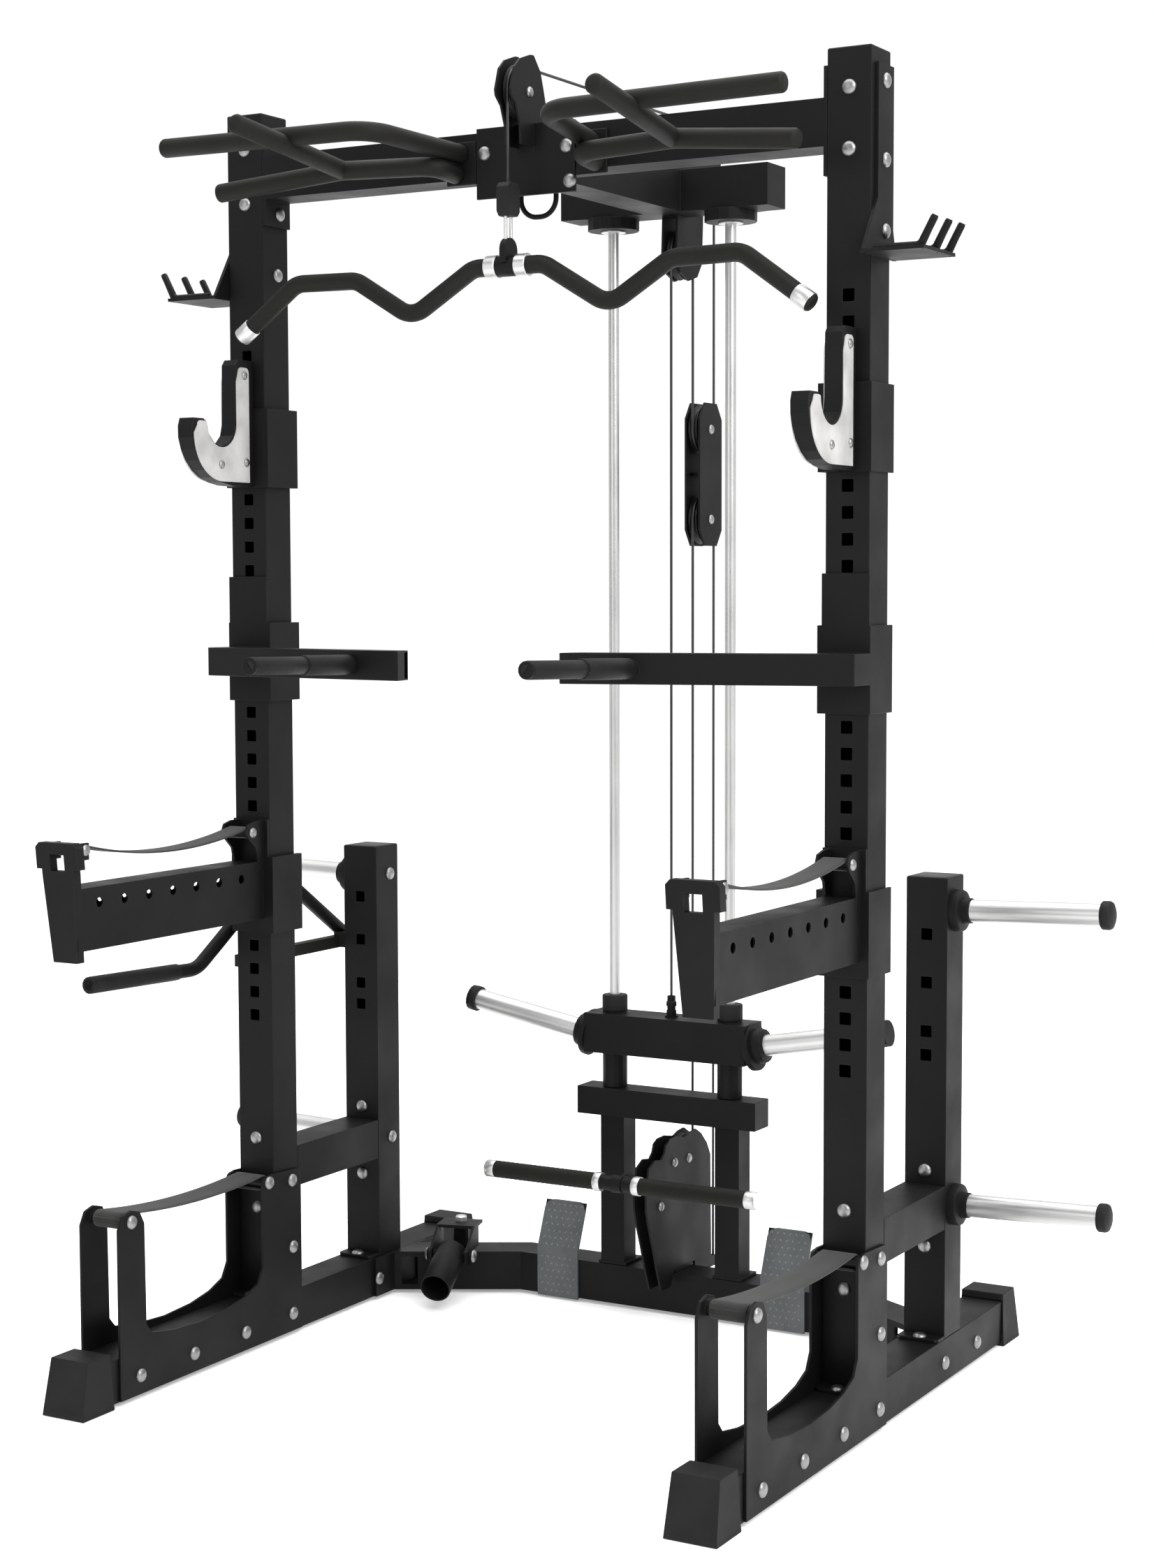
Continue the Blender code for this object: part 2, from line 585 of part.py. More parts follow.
def landmine_yoke():
    """The fork that swivels on the base beam's pin and carries the bar sleeve's cross pin."""
    turn = Matrix.Translation((*LANDMINE, 0)) @ Matrix.Rotation(YOKE_TURN, 4, "Z")
    near, far = 0.0335, 0.0385
    _, y, z = YOKE_PIVOT
    top = box((-far, -0.040, YOKE_Z), (far, 0.018, YOKE_Z + 0.006))
    cheek = [(-0.040, YOKE_Z + 0.0055), (y - 0.018, z + 0.011), (y - 0.018, z - 0.018),
             (y + 0.012, z - 0.018), (y + 0.012, z + 0.004), (-0.010, z + 0.006), (-0.010, YOKE_Z + 0.0055)]
    cheeks = [prism("X", cheek, s * near, s * (far - GAP)) for s in (-1, 1)]
    stubs = rods([((s * (near - GAP), y, z), (s * 0.046, y, z)) for s in (-1, 1)], 0.007, 10)
    hole = rod((0, 0, YOKE_Z - 0.01), (0, 0, YOKE_Z + 0.02), 0.0083)
    shape = joined([top] + cheeks + [stubs], [hole])
    shape.data.transform(turn)
    node("landmine_yoke", shape, BLACK, origin=(*LANDMINE, YOKE_Z))


def landmine_sleeve():
    """The bar sleeve: a round socket that tilts in the yoke and rests with its mouth down."""
    pivot = Vector(YOKE_PIVOT)
    turn = Matrix.Translation((*LANDMINE, 0)) @ Matrix.Rotation(YOKE_TURN, 4, "Z")
    along = Vector((0, -math.cos(SLEEVE_DROP), math.sin(SLEEVE_DROP)))
    outer = rod(pivot - along * 0.012, pivot + along * 0.112, 0.0295, 18)
    bore = rod(pivot + along * 0.024, pivot + along * 0.2, 0.0262, 18)
    eyes = rods([((s * 0.0326, *pivot[1:]), (s * 0.001, *pivot[1:])) for s in (-1, 1)], 0.0105)
    shape = joined([outer, eyes], [bore])
    shape.data.transform(turn)
    node("landmine_sleeve", shape, BLACK, origin=turn @ pivot, smooth=True)



# ---------------------------------------------------------------- moving weight, block and bars

def carriage():
    """The loaded beam with its two bearing sleeves, two plate pegs and the cable stud."""
    centres = (-ROD_X, ROD_X)
    beam = box((-0.169, 0.480, CARRIAGE_LOW), (0.169, 0.555, CARRIAGE_HIGH))
    sleeves = rods([((x, ROD_Y, MAST_TOP + 0.0005), (x, ROD_Y, 0.600)) for x in centres], SLEEVE_R, 16)
    rise = math.tan(math.radians(10))
    pegs, tips, flanges, discs = [], [], [], []
    for s in (-1, 1):
        root = Vector((s * 0.168, ROD_Y, 0.5235))

        def out(reach):
            return root + Vector((s * reach, 0, reach * rise))

        flanges += [(root, out(0.028))]
        discs += [(root, out(0.010))]
        pegs += [(root, out(0.259))]
        tips += [(out(0.256), out(0.273))]
    stud = rod((0, LIFT_Y, CARRIAGE_HIGH - 0.001), (0, LIFT_Y, STUD_TOP), 0.008, 10)
    bores = rods([((x, ROD_Y, 0.3), (x, ROD_Y, 0.8)) for x in centres], ROD_R + GAP, 16)
    inner = box((-0.090, 0.483, CARRIAGE_LOW - 0.01), (0.090, 0.552, CARRIAGE_HIGH - WALL))
    shapes = [beam, sleeves, rods(discs, 0.044, 20), rods(flanges, 0.031, 16), rods(pegs, PEG_R, 16)]
    shapes += [rods(tips, PEG_CAP_R, 16), stud]
    node("carriage", joined(shapes, [bores, inner]), BLACK, origin=(0, ROD_Y, CARRIAGE_LOW), smooth=True)


def floating_block():
    """The two-pulley block that hangs in the loop between the lat cable and the row cable."""
    low, high, y = 1.449, 1.717, BLOCK_Y
    cheek = [(y - 0.024, low), (y + 0.024, low), (y + 0.045, low + 0.030), (y + 0.045, high - 0.030),
             (y + 0.024, high), (y - 0.024, high), (y - 0.045, high - 0.030), (y - 0.045, low + 0.030)]
    plates = bracket_plates(cheek, NARROW)
    web = box((-0.013, y - 0.020, 1.580), (0.013, y + 0.020, 1.587))
    pins = pulley_pin((y, BLOCK_HIGH_Z), NARROW) + pulley_pin((y, BLOCK_LOW_Z), NARROW)
    shapes = plates[:1] + [web] + pins + plates[1:]
    node("floating_block", joined(shapes), BLACK, origin=(0, y, BLOCK_HIGH_Z))


LAT_BAR_PATH = ((0.550, 1.808), (0.428, 1.896), (0.303, 1.894), (0.190, 1.826), (0.067, 1.900))


def lat_bar():
    """The cambered pulldown bar with its tab, snap link and cable stop."""
    y = LAT_Y
    half = [(x, y, z) for x, z in LAT_BAR_PATH]
    path = rounded(half + [(-x, py, z) for x, py, z in half[::-1]], 0.045, 2)
    tab = box((-0.006, y - 0.020, 1.905), (0.006, y + 0.020, 1.945))
    link = rounded([(0, y - 0.009, 1.938), (0, y - 0.009, 1.984), (0, y + 0.009, 1.984),
                    (0, y + 0.009, 1.938)], 0.006, 2)
    stop = box((-0.012, y - 0.019, 1.980), (0.012, y + 0.019, 2.036))
    node("lat_bar", joined([tube(path, LAT_BAR_R), tab, tube(link, 0.004, 1), stop]), BLACK,
         origin=(0, y, 1.900), smooth=True)


def row_bar():
    """The straight low-row bar with its eye, snap link and cable stop."""
    y = ROW_BAR_Y
    bar = rod((-0.279, y, ROW_Z), (0.279, y, ROW_Z), ROW_BAR_R, 14)
    link = rounded([(0, y + 0.010, ROW_Z + 0.008), (0, y + 0.035, ROW_Z + 0.008),
                    (0, y + 0.035, ROW_Z - 0.008), (0, y + 0.010, ROW_Z - 0.008)], 0.005, 2)
    stop = rod((0, y + 0.033, ROW_Z), (0, ROW_EXIT_Y - GAP, ROW_Z), 0.013, 12)
    node("row_bar", joined([bar, tube(link, 0.004, 1), stop]), BLACK, origin=(0, y, ROW_Z), smooth=True)


# ---------------------------------------------------------------- attachments that move on the uprights

SADDLE_PAD = 0.0055


def saddle(side, low, high, rear=0.083):
    """A U of plate that slides on an upright, open to the rear, with the thicker wall inside the rack."""
    x = side * SIDE_X
    reach = HALF + SLIDE_GAP
    outer = box((x - side * (reach + PLATE + SADDLE_PAD), -SLIDE_GAP - 0.006, low),
                (x + side * (reach + PLATE), rear, high))
    inner = box((x - reach, -SLIDE_GAP, low - 0.1), (x + reach, rear + 0.1, high + 0.1))
    return joined([outer], [inner])


HOOK_OUTSIDE = (
    (-0.1805, 1.652), (-0.180, 1.632), (-0.173, 1.612), (-0.161, 1.593), (-0.143, 1.577), (-0.122, 1.565),
    (-0.097, 1.557), (-0.071, 1.553), (-0.004, 1.551), (-0.004, 1.774), (-0.046, 1.774), (-0.054, 1.764),
)
HOOK_SEAT = (-0.097, 1.661)
HOOK_SEAT_R = 0.041


def j_hook(name, side):
    """A bar hook: a J-shaped block on a saddle."""
    x = side * SIDE_X
    inside = [(HOOK_SEAT[0] + HOOK_SEAT_R * math.cos(math.radians(a)),
               HOOK_SEAT[1] + HOOK_SEAT_R * math.sin(math.radians(a))) for a in range(360, 179, -30)]
    outline = list(HOOK_OUTSIDE) + inside + [(-0.147, 1.666), (-0.1755, 1.666)]
    hook = prism("X", outline, x - 0.015, x + 0.015)
    node(name, joined([saddle(side, 1.551, 1.690), hook]), BLACK, origin=(x, 0, 1.600))


def dip_arm(name, side):
    """A dip handle: a hollow arm across the rack's mouth on a saddle, with a forward grip."""
    x = side * SIDE_X
    low, high = 1.2165, 1.2665
    outline = [(0.626, -0.068), (0.155, -0.167), (0.167, -0.118), (0.545, -0.0384), (0.545, -0.003),
               (0.626, -0.003)]
    arm = prism("Z", [(side * u, v) for u, v in outline], low, high)
    hollow_line = [(0.540, -0.0829), (0.163, -0.1621), (0.163, -0.1198), (0.530, -0.0427)]
    hollow = prism("Z", [(side * u, v) for u, v in hollow_line], low + WALL, high - WALL)
    wear = box((x - 0.041, -0.0065, 1.170), (x + 0.041, -SLIDE_GAP, 1.392))
    grip = rod((side * 0.270, -0.130, 1.2415), (side * 0.2632, -0.287, 1.2445), 0.0165, 14)
    end = rod((side * 0.2634, -0.283, 1.2444), (side * 0.256, -0.441, 1.2475), 0.0143, 14)
    shape = joined([saddle(side, 1.170, 1.310), wear, arm, grip, end], [hollow])
    node(name, shape, BLACK, origin=(x, 0, 1.240))


SPOTTER_HOLES = 7
SPOTTER_END_LEAN = 0.10


def spotter_arm(name, side):
    """A spotter arm: a perforated box arm with an end plate and two strap bars, on a saddle."""
    x = side * SIDE_X
    arm = box((x - 0.0275, -0.513, 0.777), (x + 0.0275, -0.003, 0.881))
    hollow = box((x - 0.0245, -0.498, 0.780), (x + 0.0245, -0.010, 0.878))
    half_end = [(0.025, 0.758), (0.033, 0.905), (0.033, 0.914), (0.0435, 0.914), (0.0435, 0.950),
                (0.0355, 0.958)]
    outline = [(x + u, z) for u, z in half_end] + [(x - u, z) for u, z in half_end[::-1]]
    end = prism("Y", outline, -0.514, -0.496)
    for vertex in end.data.vertices:
        vertex.co.y -= SPOTTER_END_LEAN * (vertex.co.z - 0.758)
    window = box((x - 0.015, -0.6, 0.911), (x + 0.015, -0.4, 0.939))
    ears = boxes([((x + s * 0.0325, -0.522, 0.928), (x + s * 0.0270, -0.4885, 0.956)) for s in (-1, 1)])
    lug = [(-0.003, 0.870), (-0.003, 0.955), (-0.030, 0.955), (-0.050, 0.950), (-0.056, 0.938),
           (-0.050, 0.925), (-0.028, 0.905), (-0.020, 0.870)]
    lugs = [prism("X", lug, x + s * 0.0240, x + s * 0.0285) for s in (-1, 1)]
    face = box((x - 0.0375, -0.0064, 0.880), (x + 0.0375, -SLIDE_GAP, 0.957))
    front_bar = rod((x - 0.0320, -0.497, 0.944), (x + 0.0320, -0.497, 0.944), 0.007, 10)
    rear_bar = rod((x - 0.0280, -0.038, 0.935), (x + 0.0280, -0.038, 0.935), 0.007, 10)
    pitch = (0.458 - 0.071) / (SPOTTER_HOLES - 1)
    spots = [-0.458 + i * pitch for i in range(SPOTTER_HOLES)]
    holes = rods([((x - 0.04, y, 0.8545), (x + 0.04, y, 0.8545)) for y in spots], 0.0085, 10)
    solids = [saddle(side, 0.751, 0.889), face, arm, end, ears, lugs[0], rear_bar, lugs[1], front_bar]
    node(name, joined(solids, [hollow, window, holes]), BLACK, origin=(x, 0, 0.830))


# ---------------------------------------------------------------- cables

def cable(name, path):
    node(name, tube(path, CABLE_R, 1), STEEL, smooth=True)


def cables():
    drop_top = FRONT_PULLEY[1] - GAP
    cable("lat_cable_drop", [(0, LAT_Y, 2.036 + GAP), (0, LAT_Y, drop_top)])
    cable("lat_cable_top", arc(FRONT_PULLEY, PULLEY_R, 180, 90) + arc(TOP_PULLEY, PULLEY_R, 90, 0))
    top = TOP_PULLEY[1] - GAP
    block_top, block_low = (BLOCK_Y, BLOCK_HIGH_Z), (BLOCK_Y, BLOCK_LOW_Z)
    mid = MID_PULLEY[1] - GAP
    cable("lat_cable_loop",
          [(0, LOOP_REAR_Y, top)] + arc(block_top, PULLEY_R, 0, -180, 12) + [(0, LOOP_FRONT_Y, mid)])
    cable("lat_cable_carriage", arc(MID_PULLEY, PULLEY_R, 0, 180, 12) + [(0, LIFT_Y, STUD_TOP + GAP)])
    low = LOW_PULLEY[1] + GAP
    cable("row_cable_loop",
          [(0, LOOP_REAR_Y, 0.0765)] + arc(block_low, PULLEY_R, 0, 180, 12) + [(0, LOOP_FRONT_Y, low)])
    cable("row_cable_low", arc(LOW_PULLEY, PULLEY_R, 0, -101.66) + [(0, ROW_EXIT_Y + 0.0006, ROW_Z)])


# ---------------------------------------------------------------- the machine

def build():
    for word, side in (("left", -1), ("right", 1)):
        foot_tube("foot_tube_" + word, side)
        rubber_foot("rubber_foot_front_" + word, side, FOOT_FRONT, 1)
        rubber_foot("rubber_foot_rear_" + word, side, FOOT_REAR, -1)
        upright("upright_" + word, side)
        rear_post("rear_post_" + word, side)
        side_link("side_link_" + word, side)
        base_bracket("base_bracket_" + word, side)
        sagging_strap("low_strap_" + word, side, (-0.3925, 0.318), (-0.034, 0.306), 0.012, 0.0300, 0.004)
        pullup_grips("pullup_grips_" + word, side)
        storage_hook("storage_hook_" + word, side)
        guide_rod("guide_rod_" + word, side)
        storage_peg("storage_peg_upper_" + word, side, 0.819)
        storage_peg("storage_peg_lower_" + word, side, 0.310)
        j_hook("j_hook_" + word, side)
        dip_arm("dip_arm_" + word, side)
        spotter_arm("spotter_arm_" + word, side)
        sagging_strap("spotter_strap_" + word, side, (-0.486, 0.9455), (-0.049, 0.9365), 0.020, 0.023, 0.004)
    crossbeam()
    front_pulley_bracket()
    rear_top_frame()
    rear_pulley_bracket()
    base_beam()
    mast()
    low_pulley_bracket()
    side_handle()
    landmine_yoke()
    landmine_sleeve()
    carriage()
    floating_block()
    lat_bar()
    row_bar()
    pulley("front_pulley", FRONT_PULLEY)
    pulley("top_pulley", TOP_PULLEY)
    pulley("middle_pulley", MID_PULLEY)
    pulley("low_pulley", LOW_PULLEY)
    pulley("block_upper_pulley", (BLOCK_Y, BLOCK_HIGH_Z))
    pulley("block_lower_pulley", (BLOCK_Y, BLOCK_LOW_Z))
    cables()


build()
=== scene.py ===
"""The half rack with its plate-loaded lat pulldown and low row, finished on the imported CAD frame.

Places along Y are measured from the uprights' front faces, as in the CAD, and place() moves them
into the frame. Everything is in metres.
"""

import json
import math

import bmesh
import bpy
from mathutils import Matrix, Vector


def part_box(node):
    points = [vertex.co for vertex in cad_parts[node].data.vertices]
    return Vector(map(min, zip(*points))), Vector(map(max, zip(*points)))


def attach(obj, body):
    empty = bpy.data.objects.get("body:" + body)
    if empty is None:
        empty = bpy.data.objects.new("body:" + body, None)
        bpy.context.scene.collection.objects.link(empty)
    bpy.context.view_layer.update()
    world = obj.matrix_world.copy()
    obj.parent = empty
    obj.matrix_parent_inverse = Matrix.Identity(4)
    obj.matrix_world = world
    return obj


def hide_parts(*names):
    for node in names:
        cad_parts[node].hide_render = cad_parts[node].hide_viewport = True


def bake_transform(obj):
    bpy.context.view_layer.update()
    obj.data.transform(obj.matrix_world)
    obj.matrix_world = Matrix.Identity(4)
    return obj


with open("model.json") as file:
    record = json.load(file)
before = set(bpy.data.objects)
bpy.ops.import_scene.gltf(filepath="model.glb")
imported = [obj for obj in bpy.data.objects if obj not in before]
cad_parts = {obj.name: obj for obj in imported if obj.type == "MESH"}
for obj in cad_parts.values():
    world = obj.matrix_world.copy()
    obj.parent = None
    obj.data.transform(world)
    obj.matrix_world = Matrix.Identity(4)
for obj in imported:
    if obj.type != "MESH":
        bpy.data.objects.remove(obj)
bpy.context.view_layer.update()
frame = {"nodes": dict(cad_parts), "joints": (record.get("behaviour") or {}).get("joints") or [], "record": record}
nodes = frame["nodes"]

UPRIGHT_LOW, UPRIGHT_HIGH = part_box("upright_right")
FRONT_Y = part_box("crossbeam")[0].y
TUBE = UPRIGHT_HIGH.x - UPRIGHT_LOW.x
HALF = TUBE / 2
SIDE_X = (UPRIGHT_HIGH.x + UPRIGHT_LOW.x) / 2
OUTER_X = SIDE_X + HALF
POST_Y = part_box("rear_post_right")[1].y - TUBE - FRONT_Y
FRONT_ANCHOR = (-0.408, 0.308)
REAR_ANCHOR = (-0.0205, 0.298)
SPOTTER_TIP = (-0.497, 0.944)
SPOTTER_ROOT = (-0.038, 0.935)
PLATE_FACE = 0.0063
UPRIGHT_BOLT_Y = 0.044
GAP = 0.0003
SIDES = (("left", -1), ("right", 1))


def place(x, y, z):
    """A point of the machine, with y measured back from the uprights' front faces."""
    return Vector((x, FRONT_Y + y, z))


def centre(node):
    low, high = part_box(node)
    return (low + high) / 2


# ---------------------------------------------------------------- materials

def shader_of(name, colour, roughness, metallic=0.0, specular=0.5):
    material = bpy.data.materials.new(name)
    material.use_nodes = True
    shader = material.node_tree.nodes["Principled BSDF"]
    shader.inputs["Base Color"].default_value = (*colour, 1)
    shader.inputs["Roughness"].default_value = roughness
    shader.inputs["Metallic"].default_value = metallic
    shader.inputs["Specular IOR Level"].default_value = specular
    return material, material.node_tree, shader


def add(tree, kind, **settings):
    made = tree.nodes.new("ShaderNode" + kind)
    for key, value in settings.items():
        if key in made.inputs:
            made.inputs[key].default_value = value
        else:
            setattr(made, key, value)
    return made


def noise(tree, scale, detail=3.0, stretch=(1, 1, 1)):
    """Noise over the object's own coordinates, stretched along an axis where asked."""
    where = add(tree, "TexCoord")
    mapping = add(tree, "Mapping")
    mapping.inputs["Scale"].default_value = stretch
    made = add(tree, "TexNoise", Scale=scale, Detail=detail)
    tree.links.new(where.outputs["Object"], mapping.inputs["Vector"])
    tree.links.new(mapping.outputs["Vector"], made.inputs["Vector"])
    return made.outputs["Fac"]


def remap(tree, value, low, high, to_low, to_high):
    made = add(tree, "MapRange")
    for key, number in (("From Min", low), ("From Max", high), ("To Min", to_low), ("To Max", to_high)):
        made.inputs[key].default_value = number
    tree.links.new(value, made.inputs["Value"])
    return made.outputs["Result"]


def product(tree, first, second):
    made = add(tree, "Math", operation="MULTIPLY")
    tree.links.new(first, made.inputs[0])
    tree.links.new(second, made.inputs[1])
    return made.outputs["Value"]


def between(tree, factor, first, second):
    """A colour between two colours."""
    made = add(tree, "Mix", data_type="RGBA")
    tree.links.new(factor, made.inputs["Factor"])
    made.inputs["A"].default_value = (*first, 1)
    made.inputs["B"].default_value = (*second, 1)
    return made.outputs["Result"]


def raised(tree, shader, height, distance, strength=1.0):
    bump = add(tree, "Bump", Strength=strength, Distance=distance)
    tree.links.new(height, bump.inputs["Height"])
    tree.links.new(bump.outputs["Normal"], shader.inputs["Normal"])


def edge_mask(tree, radius):
    """1 on sharp outer edges and 0 on flats, from the angle between the rounded and the true normal."""
    rounded_normal = add(tree, "Bevel", Radius=radius)
    rounded_normal.samples = 4
    geometry = add(tree, "NewGeometry")
    dot = add(tree, "VectorMath", operation="DOT_PRODUCT")
    tree.links.new(rounded_normal.outputs["Normal"], dot.inputs[0])
    tree.links.new(geometry.outputs["Normal"], dot.inputs[1])
    return remap(tree, dot.outputs["Value"], 0.99, 0.80, 0.0, 1.0)


def powder_coat(name, colour, worn, roughness=0.5, specular=0.11):
    """Fine-textured black paint, a little polished and paler along its edges."""
    edge_width, texture_height = 0.0022, 0.00008
    material, tree, shader = shader_of(name, colour, roughness, specular=specular)
    mottle = noise(tree, 9.0, 4.0)
    patches = remap(tree, noise(tree, 60.0), 0.35, 0.75, 0.25, 1.0)
    wear = product(tree, edge_mask(tree, edge_width), patches)
    tree.links.new(between(tree, wear, colour, worn), shader.inputs["Base Color"])
    sheen = remap(tree, mottle, 0.3, 0.7, roughness - 0.07, roughness + 0.09)
    tree.links.new(sheen, shader.inputs["Roughness"])
    raised(tree, shader, noise(tree, 1400.0, 2.0), texture_height, 0.5)
    return material


def plated(name, colour, roughness, stretch):
    """Plated steel with faint turning or drawing marks along one axis."""
    mark_height = 0.00001
    material, tree, shader = shader_of(name, colour, roughness, metallic=1.0)
    marks = noise(tree, 420.0, 2.0, stretch)
    smudge = noise(tree, 14.0, 3.0)
    fine, broad = remap(tree, marks, 0.2, 0.8, 0.9, 1.1), remap(tree, smudge, 0.3, 0.7, 0.9, 1.15)
    sheen = remap(tree, product(tree, fine, broad), 0.7, 1.4, roughness * 0.8, roughness * 1.25)
    tree.links.new(sheen, shader.inputs["Roughness"])
    shade = tuple(c * 0.93 for c in colour)
    tint = between(tree, remap(tree, smudge, 0.3, 0.7, 0, 1), shade, colour)
    tree.links.new(tint, shader.inputs["Base Color"])
    raised(tree, shader, marks, mark_height, 0.15)
    return material


def moulded(name, colour, roughness, grain, depth, specular=0.35):
    """Rubber or plastic with an even moulded grain."""
    material, tree, shader = shader_of(name, colour, roughness, specular=specular)
    cloud = noise(tree, 18.0, 4.0)
    paler = tuple(c * 1.5 + 0.002 for c in colour)
    tint = between(tree, remap(tree, cloud, 0.35, 0.75, 0, 1), colour, paler)
    tree.links.new(tint, shader.inputs["Base Color"])
    sheen = remap(tree, cloud, 0.3, 0.7, roughness - 0.08, roughness + 0.08)
    tree.links.new(sheen, shader.inputs["Roughness"])
    raised(tree, shader, noise(tree, grain, 3.0), depth, 0.6)
    return material


def webbing_material(name, dark, light):
    """Woven band: ribs across its run and finer yarns along it."""
    rib_scale, yarn_scale, weave_height = 180.0, 240.0, 0.0006
    material, tree, shader = shader_of(name, light, 0.85, specular=0.2)
    shader.inputs["Sheen Weight"].default_value = 0.15
    where = add(tree, "TexCoord")
    along = add(tree, "TexWave", Scale=rib_scale, wave_type="BANDS", bands_direction="Y")
    across = add(tree, "TexWave", Scale=yarn_scale, wave_type="BANDS", bands_direction="X")
    for wave in (along, across):
        tree.links.new(where.outputs["Object"], wave.inputs["Vector"])
    weave = product(tree, along.outputs["Fac"], across.outputs["Fac"])
    soil = remap(tree, noise(tree, 22.0, 4.0), 0.35, 0.7, 0.5, 1.0)
    # The band's colour is darker in the weave's low grooves, a painted shade, and a random soiling varies it over
    # the band.
    shade = product(tree, remap(tree, weave, 0, 1, 0.35, 1.0), soil)
    tree.links.new(between(tree, shade, dark, light), shader.inputs["Base Color"])
    raised(tree, shader, weave, weave_height, 0.8)
    return material


PAINT = powder_coat("black_powder_coat", (0.0050, 0.0050, 0.0053), (0.016, 0.016, 0.017))
GRIP = powder_coat("grip_coat", (0.0088, 0.0086, 0.0078), (0.016, 0.0155, 0.015), 0.58, 0.12)
RUBBER = moulded("moulded_rubber", (0.0070, 0.0070, 0.0074), 0.62, 700.0, 0.00012, 0.14)
NYLON = moulded("black_nylon", (0.0080, 0.0080, 0.0084), 0.45, 900.0, 0.00005, 0.16)
LINER = moulded("grey_liner", (0.300, 0.297, 0.292), 0.55, 500.0, 0.00010)
TREAD = moulded("tread_plate", (0.070, 0.075, 0.077), 0.60, 350.0, 0.00015)
LOZENGE = moulded("tread_lozenge", (0.150, 0.155, 0.158), 0.50, 350.0, 0.00010)
CHROME_X = plated("plated_sleeve", (0.55, 0.55, 0.545), 0.38, (0.05, 1, 1))
CHROME_Z = plated("plated_rod", (0.52, 0.52, 0.515), 0.36, (1, 1, 0.05))
ZINC = plated("zinc", (0.58, 0.58, 0.575), 0.45, (1, 1, 1))
BOLT_STEEL = plated("bolt_steel", (0.27, 0.27, 0.268), 0.40, (1, 1, 1))
WIRE = moulded("cable_sheath", (0.0080, 0.0082, 0.0088), 0.40, 1500.0, 0.00003, 0.5)
WEBBING = webbing_material("webbing", (0.008, 0.0078, 0.0072), (0.026, 0.0255, 0.024))

FINISH_OF_SLOT = {
    "black_paint": PAINT, "grip_paint": GRIP, "rubber": RUBBER, "chrome": CHROME_Z, "webbing": WEBBING,
    "nylon": NYLON, "cable": WIRE,
}


# ---------------------------------------------------------------- building pieces

SMOOTH_BELOW = math.radians(38)
BEVEL_ABOVE = math.radians(40)
WELD_DISTANCE = 0.00002
POINT_RADIUS = 0.00002


def piece(name, mesh, body, material, slot=None, stands_for=()):
    """Links a mesh as a piece of the object that rides on a body."""
    mesh.name = name
    made = bpy.data.objects.new(name, mesh)
    bpy.context.scene.collection.objects.link(made)
    mesh.materials.clear()
    mesh.materials.append(material)
    mesh.shade_smooth()
    mesh.set_sharp_from_angle(angle=SMOOTH_BELOW)
    if body:
        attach(made, body)
    if stands_for:
        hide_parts(*stands_for)
    return made


def mesh_of(bm):
    bmesh.ops.recalc_face_normals(bm, faces=bm.faces)
    mesh = bpy.data.meshes.new("piece")
    bm.to_mesh(mesh)
    bm.free()
    return mesh


def rings_into(bm, rings, loop=False):
    """Skins a list of equal rings of points with quads; the ends are closed, or joined in a loop."""
    made = [[bm.verts.new(p) for p in ring] for ring in rings]
    pairs = list(zip(made, made[1:])) + ([(made[-1], made[0])] if loop else [])
    for lower, upper in pairs:
        for i in range(len(lower)):
            following = (i + 1) % len(lower)
            bm.faces.new((lower[i], lower[following], upper[following], upper[i]))
    if not loop:
        bm.faces.new(made[0][::-1])
        bm.faces.new(made[-1])


def turned_into(bm, profile, origin, direction, sides=32):
    """Turns (radius, distance) points about a line.

    A radius of 0 closes an end, and a profile that ends on its first point makes a hollow ring.
    """
    turn = Vector(direction).normalized().to_track_quat("Z", "Y").to_matrix()
    origin = Vector(origin)
    hollow = profile[0] == profile[-1]
    rings = []
    for radius, height in (profile[:-1] if hollow else profile):
        radius = max(radius, POINT_RADIUS)
        angles = [2 * math.pi * i / sides for i in range(sides)]
        rings.append([origin + turn @ Vector((radius * math.cos(a), radius * math.sin(a), height))
                      for a in angles])
    rings_into(bm, rings, loop=hollow)


def turned(name, profile, origin, direction, body, material, sides=32, **more):
    bm = bmesh.new()
    turned_into(bm, profile, origin, direction, sides)
    piece(name, mesh_of(bm), body, material, **more)


def rounded(points, radius, steps=8):
    """The path through these points with each corner turned on an arc."""
    points = [Vector(p) for p in points]
    path = [points[0]]
    for before, corner, after in zip(points, points[1:], points[2:]):
        back, on = (before - corner).normalized(), (after - corner).normalized()
        half = back.angle(on) / 2
        reach = min(radius / math.tan(half), 0.48 * (before - corner).length,
                    0.48 * (after - corner).length)
        size = reach * math.tan(half)
        middle = corner + (back + on).normalized() * size / math.sin(half)
        start = (corner + back * reach - middle).normalized()
        stop = (corner + on * reach - middle).normalized()
        path += [middle + start.slerp(stop, i / steps) * size for i in range(steps + 1)]
    return path + [points[-1]]


